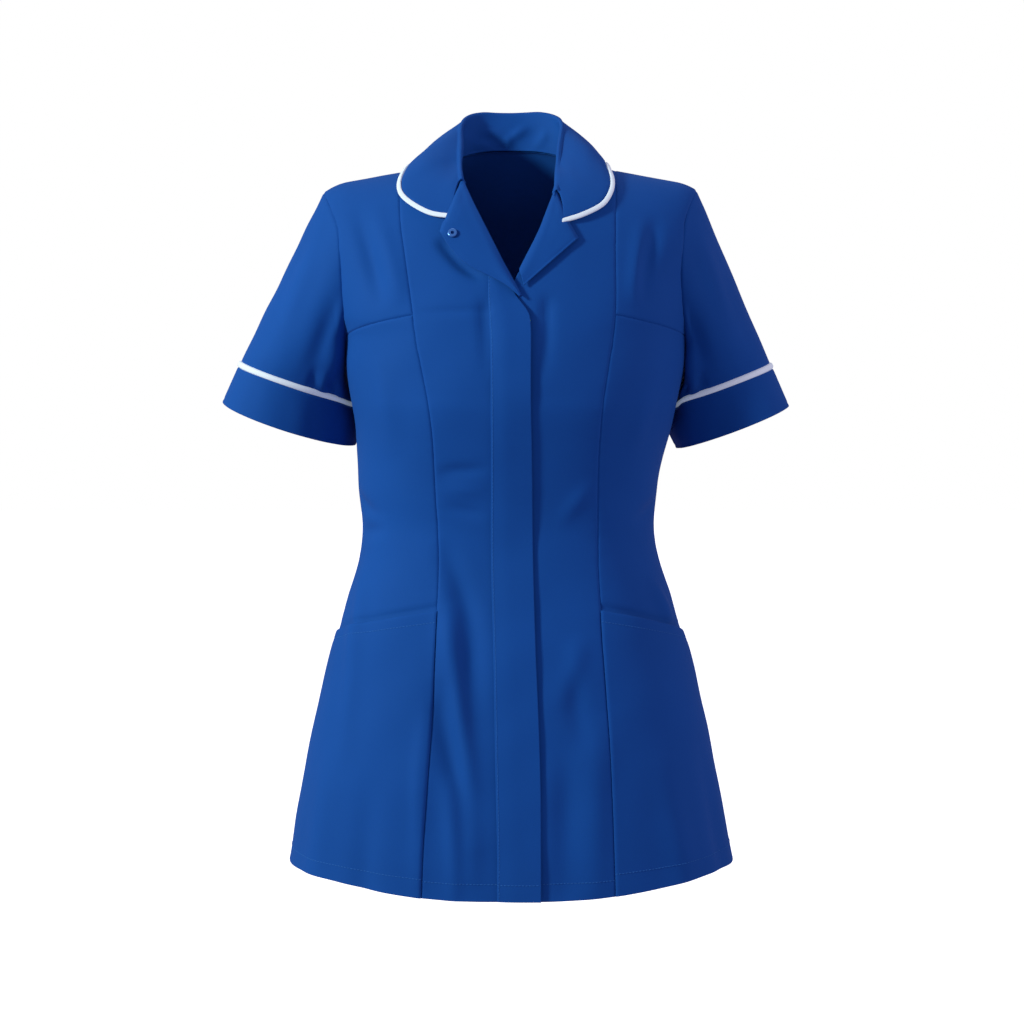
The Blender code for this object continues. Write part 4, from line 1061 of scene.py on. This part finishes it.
def clear_of_shoulder(point, gap):
    """Lift a point off the body's shoulder, where the form closes like an ellipse."""
    face = FRONT if point.y < 0 else BACK
    peak = BUST_LEVEL if face == FRONT else BLADE_LEVEL
    reach = BUST_DEPTH if face == FRONT else BLADE_DEPTH
    for attempt in range(3):
        level = level_at(point.x, point.z, face)
        side = RIGHT if point.x < 0 else LEFT
        part = min(abs(point.x) / half_width(min(level, CREST), side), 0.98)
        narrow = reach * (1 - part ** ROUNDNESS) ** (1 / ROUNDNESS)
        up = (level - peak) / -peak
        slope = Vector((0, 2 * point.y / narrow ** 2, 2 * up / -peak))
        distance = ((point.y / narrow) ** 2 + up ** 2 - 1) / slope.length
        if distance < gap:
            point = point + slope.normalized() * (gap - distance)
    return point


def cloth_at(turn, level, face, lift=0.0):
    """Point of a cloth that stands off the form by the lift."""
    return form_point(turn, level, face) + form_out(turn, level, face) * lift


def collar_stations():
    """All stations from the collar's right end round the back to its left end."""
    def ends(side):
        return [(side, row, FRONT if number else BACK)
                for number, row in enumerate(COLLAR_FRONT[side])]

    back = [(RIGHT, row, BACK) for row in COLLAR_BACK]
    other = [(LEFT, row, BACK) for row in COLLAR_BACK[1:]]
    return ends(RIGHT)[::-1] + back[::-1] + other + ends(LEFT)


def neck_point(side, row, face):
    """Where the collar's stand meets the neck edge, just inside it."""
    level = row.neck_level
    if row in COLLAR_BACK:
        level = NAPE_LEVEL * (1 - (row.neck_x / NECK_HALF) ** 2)
    level = min(level, CREST)
    point = form_point(turn_at(side * row.neck_x, level), level, face)
    inward = -Vector((point.x, point.y, 0)).normalized()
    return point + inward * STAND_INSET


def collar_grid():
    """Path of the collar at each station: up the stand, over the fold, down the fall."""
    around = collar_stations()
    folds = [Vector((side * row.fold_x, row.fold_y, row.fold_z)) for side, row, face in around]
    grid = []
    for number, (side, row, face) in enumerate(around):
        fold = folds[number]
        along = folds[min(number + 1, len(folds) - 1)] - folds[max(number - 1, 0)]
        along.normalize()
        out = along.cross(Vector((0, 0, 1))).normalized()
        if out.dot(Vector((fold.x, fold.y + 0.06, 0))) < 0:
            out = -out
        up = out.cross(along)
        up *= 1 if up.z > 0 else -1
        neck = neck_point(side, row, face)
        centre = fold - up * FOLD_RADIUS + out * FOLD_RADIUS
        arc = [centre + out * FOLD_RADIUS * math.cos(math.radians(angle))
               + up * FOLD_RADIUS * math.sin(math.radians(angle)) for angle in FOLD_ANGLES]
        if (arc[0] - neck).length < STAND_DROP:
            neck = arc[0] - up * STAND_DROP
        level = min(level_at(row.edge_x, row.edge_z, face), CREST)
        edge = cloth_at(turn_at(side * row.edge_x, level), level, face, COLLAR_EDGE_LIFT)
        arc[-1] = clear_of_shoulder(arc[-1], COLLAR_CLEAR)
        reach = edge - arc[-1]
        swell = along.cross(reach).normalized()
        swell *= 1 if swell.dot(up + out) > 0 else -1
        length = reach.length
        ends = (1 - (PIPING_WIDTH + 2 * SEAM) / length, 1 - PIPING_WIDTH / length, 1)
        line = [neck, mix(neck, arc[0], 0.5)] + arc
        near_end = min(number, len(folds) - 1 - number)
        bulge = FALL_BULGE * mix(0.35, 1, ease(near_end / 7))
        for part in FALL_PARTS + ends:
            point = arc[-1] + reach * part + swell * bulge * math.sin(math.pi * part)
            line.append(clear_of_shoulder(point, COLLAR_CLEAR))
        grid.append(line)
    return grid


def fine_sheet(coarse, spacing):
    """Fine points between the rows and columns of a coarse grid."""
    surface = sample(coarse, stations(coarse, 0, spacing), 0)
    return sample(surface, stations(surface, 1, spacing), 1)


COLLAR_WAVE = 0.0005
STAND_WAVE = 0.0012
NECK_STITCH = 0.0030
# Folds on the stand inside the back of the neck: x, height and lift along each
STAND_FOLDS = (
    ((-0.036, 0.043, 0.0006), (-0.021, 0.033, 0.0032), (-0.005, 0.024, 0.0020)),
    ((0.018, 0.043, 0.0008), (0.009, 0.034, 0.0030), (-0.004, 0.024, 0.0018)),
    ((-0.041, 0.024, 0.0006), (-0.030, 0.020, 0.0022), (-0.016, 0.017, 0.0004)),
    ((0.037, 0.040, 0.0004), (0.033, 0.028, 0.0024), (0.024, 0.018, 0.0006)),
)
STAND_FOLD_WIDTH = 0.0048
surface = fine_sheet(array_of(collar_grid()), 0.0024)
out = surface_normals(surface)
if out[len(out) // 2, -3, 1] < 0:
    out = -out
to_edge = edge_distance(surface, 1)[1].mean(axis=0)
body_columns = int(np.argmin(np.abs(to_edge - PIPING_WIDTH - SEAM))) + 1
fall = surface[:, :body_columns].copy()
fall_out = out[:, :body_columns]
from_neck, edge_away = edge_distance(fall, 1)
ends = np.minimum(*edge_distance(fall, 0))
x, y, z = fall[..., 0], fall[..., 1], fall[..., 2]
dent = groove(edge_away, 0.0006, 0.0012) + groove(ends, 0.0003, 0.0010)
dent += groove(from_neck, 0.0003, 0.0008, NECK_STITCH)
soft = COLLAR_WAVE * np.sin(x * 95 + z * 40) * np.sin(y * 70 + 1.0) * ease(ends / 0.02)
stand = STAND_WAVE * np.sin(x * 120 + z * 50 + 0.4)
stand *= np.exp(-((from_neck - 0.022) / 0.012) ** 2) * ease(ends / 0.06)
on_stand = fall[(from_neck < 0.030) & (y > 0)]
folds = []
for path in STAND_FOLDS:
    line = []
    for across, height, lift in path:
        nearest = np.argmin(np.hypot(on_stand[:, 0] - across, on_stand[:, 2] - height))
        line.append((*on_stand[nearest], lift))
    folds.append((sample(np.array(line), np.linspace(0, len(line) - 1, 9), 0), STAND_FOLD_WIDTH))
stand += crease_lift(fall, folds) * ease((0.034 - from_neck) / 0.008)
fall = fall + fall_out * (dent + soft + stand)[..., None]
cloth("collar", fall, fall_out, thick=DOUBLED)

inward = unit(surface[:, body_columns - 1] - surface[:, -1])
middle = surface[:, -1] + inward * (PIPING_WIDTH / 2)
piping("collar_piping", middle, inward, out[:, -3], 1.04, 0.0013, -0.0005, 0.92, 0.0014)

# Lapels
# The faced neck ends of the two fronts, rolled open below the collar. The right one swings
# over the fly in a soft curve; the left one ends in a straight edge.
# Rows from the gorge seam at the collar down to the bottom of the neck opening, each from the
# roll line to the lapel's own edge, with the height of its face off the front
Lapel = namedtuple("Lapel", "roll_x roll_level edge_x edge_level middle_lift edge_lift")
LAPELS = {
    RIGHT: [Lapel(*row) for row in (
        (-0.0469, -0.0238, -0.0653, -0.0792, 0.0052, 0.0062),
        (-0.0397, -0.0400, -0.0614, -0.0856, 0.0052, 0.0060),
        (-0.0297, -0.0600, -0.0500, -0.0991, 0.0052, 0.0058),
        (-0.0195, -0.0800, -0.0370, -0.1082, 0.0054, 0.0056),
        (-0.0092, -0.1000, -0.0215, -0.1158, 0.0058, 0.0056),
        (0.0015, -0.1190, -0.0050, -0.1250, 0.0060, 0.0056),
        (0.0090, -0.1330, 0.0068, -0.1352, 0.0056, 0.0054),
    )],
    LEFT: [Lapel(*row) for row in (
        (0.0405, -0.0345, 0.0579, -0.0841, 0.0046, 0.0046),
        (0.0345, -0.0500, 0.0500, -0.0909, 0.0046, 0.0044),
        (0.0268, -0.0700, 0.0400, -0.0995, 0.0044, 0.0042),
        (0.0190, -0.0860, 0.0300, -0.1081, 0.0042, 0.0040),
        (0.0118, -0.0998, 0.0200, -0.1167, 0.0040, 0.0038),
        (0.0070, -0.1090, 0.0115, -0.1240, 0.0038, 0.0036),
    )],
}
# The notch, where the collar's end meets the lapel
NOTCH = {RIGHT: (-0.0557, -0.0612), LEFT: (0.0480, -0.0668)}
ROLL_LIFT = 0.0020
LAPEL_STEPS = 4


def lapel_grid(side):
    """Rows of the lapel's face; the first one bends at the notch."""
    grid = []
    for number, row in enumerate(LAPELS[side]):
        line = []
        for step in range(LAPEL_STEPS + 1):
            part = step / LAPEL_STEPS
            x = mix(row.roll_x, row.edge_x, part)
            level = mix(row.roll_level, row.edge_level, part)
            if number == 0:
                notch_x, notch_level = NOTCH[side]
                half = 2 * part
                x = mix(row.roll_x, notch_x, half)
                level = mix(row.roll_level, notch_level, half)
                if half > 1:
                    x = mix(notch_x, row.edge_x, half - 1)
                    level = mix(notch_level, row.edge_level, half - 1)
            lift = mix(row.middle_lift, row.edge_lift, part)
            lift = mix(ROLL_LIFT, lift, ease(part / 0.4))
            line.append(cloth_at(turn_at(x, level), level, FRONT, lift))
        grid.append(line)
    return grid


LAPEL_STITCH = 0.0022
FACED = 0.0012
ROLL_RADIUS = 0.0016
ROLL_ANGLES = (175, 150, 120, 90, 60, 30)
# Rows tucked in under the collar at the gorge seam: how far up, and how far below the face
GORGE_TUCKS = ((0.0090, 0.0012), (0.0045, 0.0005))
for side in (RIGHT, LEFT):
    surface = fine_sheet(array_of(lapel_grid(side)), 0.0018)
    out = surface_normals(surface)
    if out[..., 1].mean() > 0:
        out = -out
    roll_away, edge_away = edge_distance(surface, 1)
    topstitch = groove(edge_away, 0.0003, 0.0007, LAPEL_STITCH)
    swell = -groove(roll_away, 0.0007, 0.006, 0.006)
    surface = surface + out * (topstitch + swell)[..., None]
    # The cloth turns back inside the neck round the roll line
    roll = surface[:, :1]
    outwards = unit(roll - surface[:, 3:4])
    turned_back = [roll + ROLL_RADIUS * (outwards * math.sin(angle) - out[:, :1] * (1 - math.cos(angle)))
                   for angle in np.radians(ROLL_ANGLES)]
    rolled = np.concatenate(turned_back + [surface], 1)
    upward = unit(rolled[:1] - rolled[2:3])
    under = surface_normals(rolled)[:1]
    under *= np.sign((under[..., 1:2]).mean())
    tucks = [rolled[:1] + upward * reach + under * drop for reach, drop in GORGE_TUCKS]
    rolled = np.concatenate(tucks + [rolled])
    rolled_out = surface_normals(rolled)
    if rolled_out[:, len(ROLL_ANGLES) + 2:, 1].mean() > 0:
        rolled_out = -rolled_out
    cloth("lapel_" + word(side), rolled, rolled_out, thick=FACED)

# Fly
# A doubled strip of twill stitched down along the right front, that hides the zip. Its other
# edge is free and stands a little off the left front.


FLY_START_ROW = 9
DOUBLE_CLOTH = 0.0016


def fly_nodes():
    """Rows of nodes from the stitched side to the free edge."""
    levels = [row.level for row in FLY[:3]] + [row.princess for row in ROWS[FLY_START_ROW:]]
    nodes = []
    for number, level in enumerate(levels):
        stitched = through(FLY, "stitched", level)
        free = through(FLY, "free", level)
        line = []
        for step in range(4):
            at = node(mix(stitched, free, step / 3), level)
            if number == len(levels) - 1:
                at = Node(at.turn, hem_level(at.turn))
            line.append(at)
        nodes.append(line)
    return nodes


def fly_lift(at, step):
    """Height of the fly over the form: its own thickness where it is sewn, its gape elsewhere."""
    gape = through(FLY, "gape", at.level)
    return gape if step else SEAM + DOUBLE_CLOTH


FLY_STITCH = 0.0017
FLY_WAVE = 0.0006
coarse = array_of([[cloth_at(at.turn, at.level, FRONT, fly_lift(at, step))
                    for step, at in enumerate(line)] for line in fly_nodes()])
surface = fine_sheet(coarse, 0.0028)
out = surface_normals(surface)
if out[..., 1].mean() > 0:
    out = -out
stitched_side = edge_distance(surface, 1)[0]
down = surface[..., 2]
wander = FLY_WAVE * np.sin(down * 37) * np.sin(down * 13 + 1) * ease(stitched_side / 0.03)
lift = body_relief(surface) * 0.8 + wander + groove(stitched_side, 0.0004, 0.0012)
surface = surface + out * lift[..., None]
hem_lines.append(line_on(surface, out, 0, 1, HEM_DEPTH))
fly_line = line_on(surface, out, 1, 0, FLY_STITCH)
cloth("fly", surface, out, thick=FACED)

# Zip
# A closed nylon coil zip under the fly: two woven tapes sewn behind the fronts, the coil
# between them, and a metal slider with a plain pull tab.
TAPE_INNER = 0.0050
TAPE_OUTER = 0.0185
TAPE_LIFT = -0.0018
TAPE = 0.0006
ZIP_TOP = -0.120
ZIP_END = -0.700
DARK = twill("zip_tape", (0.008, 0.050, 0.240))
levels = [ZIP_TOP] + [row.princess for row in ROWS[FLY_START_ROW:-1] if row.princess < ZIP_TOP]
levels.append(ZIP_END)
for side, low, high in ((RIGHT, -TAPE_OUTER, -TAPE_INNER), (LEFT, TAPE_INNER, TAPE_OUTER)):
    nodes = [[node(zip_x(level) + offset, level) for offset in (low, high)] for level in levels]
    surface, out = body_grid(nodes, FRONT, TAPE_LIFT, seams="")
    cloth("zip_tape_" + word(side), surface, out, thick=TAPE,
          material=DARK)


def bar_faces(first, rings, corners):
    """Side faces between the rings of a bar, and its two ends."""
    faces = []
    for low in range(first, first + (rings - 1) * corners, corners):
        for corner in range(corners):
            after = (corner + 1) % corners
            faces.append((low + corner, low + after, low + corners + after, low + corners + corner))
    for low in (first, first + (rings - 1) * corners):
        faces.append(tuple(range(low, low + corners)))
    return faces


# The coil: each turn is a bar of four corners that starts out on its tape, passes the middle
# and arches over, and the turns of the two sides alternate
COIL_TOP = -0.1550
COIL_PITCH = 0.0022
COIL_SUNK = 0.0016
COIL_RINGS = 7
COIL_START = 0.0040
COIL_REACH = 0.0046
COIL_ARCH = 0.0009
COIL_CORNERS = ((0.0004, 0), (-0.0004, 0), (-0.0004, -0.0007), (0.0004, -0.0007))
points, faces = [], []
level = COIL_TOP
while level > ZIP_END:
    for side in (RIGHT, LEFT):
        at = level - (COIL_PITCH / 2 if side > 0 else 0)
        turn = float(turn_at(zip_x(at), at))
        out = outward(turn, at, FRONT)
        place = skin(turn, at, FRONT) - out * COIL_SUNK
        faces += bar_faces(len(points), COIL_RINGS, len(COIL_CORNERS))
        for share in np.linspace(0, 1, COIL_RINGS):
            spread = side * (COIL_START - COIL_REACH * share)
            height = COIL_ARCH * math.sin(math.pi * min(share * 1.15, 1))
            for up, lift in COIL_CORNERS:
                points.append(place + np.array((spread, 0, up)) + out * (height + lift))
    level -= COIL_PITCH
in_place_of(add_mesh("zip_coil", points, faces, DARK), "zip_chain")

# The slider, its tab and the two halves of the press stud keep their solids
METAL, metal = principled("zip_metal", {"Base Color": (0.56, 0.56, 0.58, 1), "Metallic": 1.0})
brushed = add_node(METAL.node_tree, "TexNoise", {"Scale": 900})
dull = add_node(METAL.node_tree, "MapRange", {"To Min": 0.24, "To Max": 0.42})
METAL.node_tree.links.new(brushed.outputs["Fac"], dull.inputs["Value"])
METAL.node_tree.links.new(dull.outputs["Result"], metal.inputs["Roughness"])
ENAMEL = METAL.copy()
ENAMEL.name = "stud_enamel"
enamel = ENAMEL.node_tree.nodes["Principled BSDF"]
enamel.inputs["Base Color"].default_value = (0.060, 0.190, 0.520, 1)
enamel.inputs["Metallic"].default_value = 0.35
for name, finish in (("zip_slider", METAL), ("zip_pull", METAL), ("press_stud_ball", ENAMEL),
                     ("press_stud_socket", ENAMEL)):
    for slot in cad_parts[name].material_slots:
        slot.material = finish

# Stitching
# Polyester thread of the cloth's blue, in even machine stitches: round the hem, along the fly,
# under the pocket edges and round the inside of the collar's stand.
THREAD = twill("blue_thread", (0.030, 0.165, 0.500))
THREAD_HALF = 0.00030
THREAD_PROUD = 0.35
STITCH = 0.0026
STITCH_GAP = 0.0009
STITCH_RINGS = ((0, 0.35), (0.15, 1), (0.85, 1), (1, 0.35))
STITCH_CORNERS = 6


def stitches(name, lines):
    """Each stitch is a short rounded bar of thread, half sunk in the cloth."""
    points, faces = [], []
    turns = np.linspace(0, 2 * math.pi, STITCH_CORNERS, endpoint=False)
    for line, out in lines:
        along = np.concatenate(([0], np.cumsum(np.linalg.norm(np.diff(line, axis=0), axis=-1))))
        for start in np.arange(0, along[-1] - STITCH, STITCH + STITCH_GAP):
            faces += bar_faces(len(points), len(STITCH_RINGS), STITCH_CORNERS)
            for share, size in STITCH_RINGS:
                at = start + STITCH * share
                place = np.array([np.interp(at, along, line[:, axis]) for axis in range(3)])
                up = np.array([np.interp(at, along, out[:, axis]) for axis in range(3)])
                index = min(np.searchsorted(along, at), len(line) - 1)
                sideways = np.cross(line[index] - line[max(index - 1, 0)], up)
                sideways /= max(np.linalg.norm(sideways), 1e-9)
                for angle in turns:
                    reach = sideways * math.cos(angle) + up * (math.sin(angle) + THREAD_PROUD)
                    points.append(place + reach * THREAD_HALF * size)
    piece = add_mesh(name, points, faces, THREAD)
    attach(piece, "root")


near_neck = int(np.argmin(np.abs(from_neck.mean(axis=0) - NECK_STITCH)))
neck_out = fall_out[:, near_neck]
stitches("hem_stitching", hem_lines)
stitches("fly_stitching", [fly_line])
stitches("pocket_stitching", pocket_lines)
stitches("collar_stitching", [(fall[:, near_neck] - neck_out * DOUBLED, -neck_out)])

# Studio
# A white floor well below the tunic and a white surround, which don't light it; a cool lamp
# high on the left, a weak broad one on the right and one from above, behind.
FLOOR = -1.40
pale, _ = principled("pale_floor", {
    "Base Color": (0.95, 0.95, 0.95, 1), "Roughness": 0.9, "Emission Color": (1, 1, 1, 1),
    "Emission Strength": 1.0})
floor_mesh = bpy.data.meshes.new("floor")
corners = [(-9, -9, FLOOR), (9, -9, FLOOR), (9, 12, FLOOR), (-9, 12, FLOOR)]
floor_mesh.from_pydata(corners, [], [(0, 1, 2, 3)])
floor_mesh.materials.append(pale)
floor = bpy.data.objects.new("floor", floor_mesh)
bpy.context.scene.collection.objects.link(floor)
floor.visible_diffuse = False
floor.visible_glossy = False

# The camera sees white behind the tunic; the cloth gets a dim violet light from all round
world = bpy.data.worlds.new("surround")
bpy.context.scene.world = world
bpy.context.scene.view_settings.view_transform = "Standard"
world.use_nodes = True
tree = world.node_tree
background = tree.nodes["Background"]
background.inputs["Color"].default_value = (0.70, 0.66, 1.0, 1)
background.inputs["Strength"].default_value = 0.38
white = add_node(tree, "Background", {"Color": (1, 1, 1, 1), "Strength": 1.0})
path = add_node(tree, "LightPath")
choice = add_node(tree, "MixShader")
tree.links.new(path.outputs["Is Camera Ray"], choice.inputs[0])
tree.links.new(background.outputs["Background"], choice.inputs[1])
tree.links.new(white.outputs["Background"], choice.inputs[2])
tree.links.new(choice.outputs["Shader"], tree.nodes["World Output"].inputs["Surface"])

Lamp = namedtuple("Lamp", "name place aim size power colour")
LAMPS = (
    Lamp("key", (-2.55, -1.4, 0.95), (0, 0, -0.35), 0.5, 82, (0.80, 1.0, 0.96)),
    Lamp("fill", (2.7, -0.9, 0.6), (0, 0, -0.4), 1.6, 18, (0.84, 0.84, 1.0)),
    Lamp("top", (-0.4, 0.9, 2.2), (0, 0, -0.2), 1.2, 8, (0.90, 1.0, 1.0)),
)
for lamp in LAMPS:
    data = bpy.data.lights.new(lamp.name, "AREA")
    data.shape = "DISK"
    data.size = lamp.size
    data.energy = lamp.power
    data.color = lamp.colour
    light = bpy.data.objects.new(lamp.name, data)
    light.location = lamp.place
    beam = Vector(lamp.aim) - Vector(lamp.place)
    light.rotation_euler = beam.to_track_quat("-Z", "Y").to_euler()
    bpy.context.scene.collection.objects.link(light)

# Camera
# It looks at the front from 2.5 m, five degrees above level.
CAMERA_AIM = Vector((0, 0, -0.353))
CAMERA_AWAY = 2.5
CAMERA_ABOVE = math.radians(5)
CAMERA_LENS = 86.17
camera_data = bpy.data.cameras.new("camera")
camera_data.sensor_width = 36
camera_data.lens = CAMERA_LENS
camera = bpy.data.objects.new("camera", camera_data)
reach = Vector((0, -math.cos(CAMERA_ABOVE), math.sin(CAMERA_ABOVE)))
camera.location = CAMERA_AIM + reach * CAMERA_AWAY
camera.rotation_euler = (-reach).to_track_quat("-Z", "Y").to_euler()
bpy.context.scene.collection.objects.link(camera)
bpy.context.scene.camera = camera
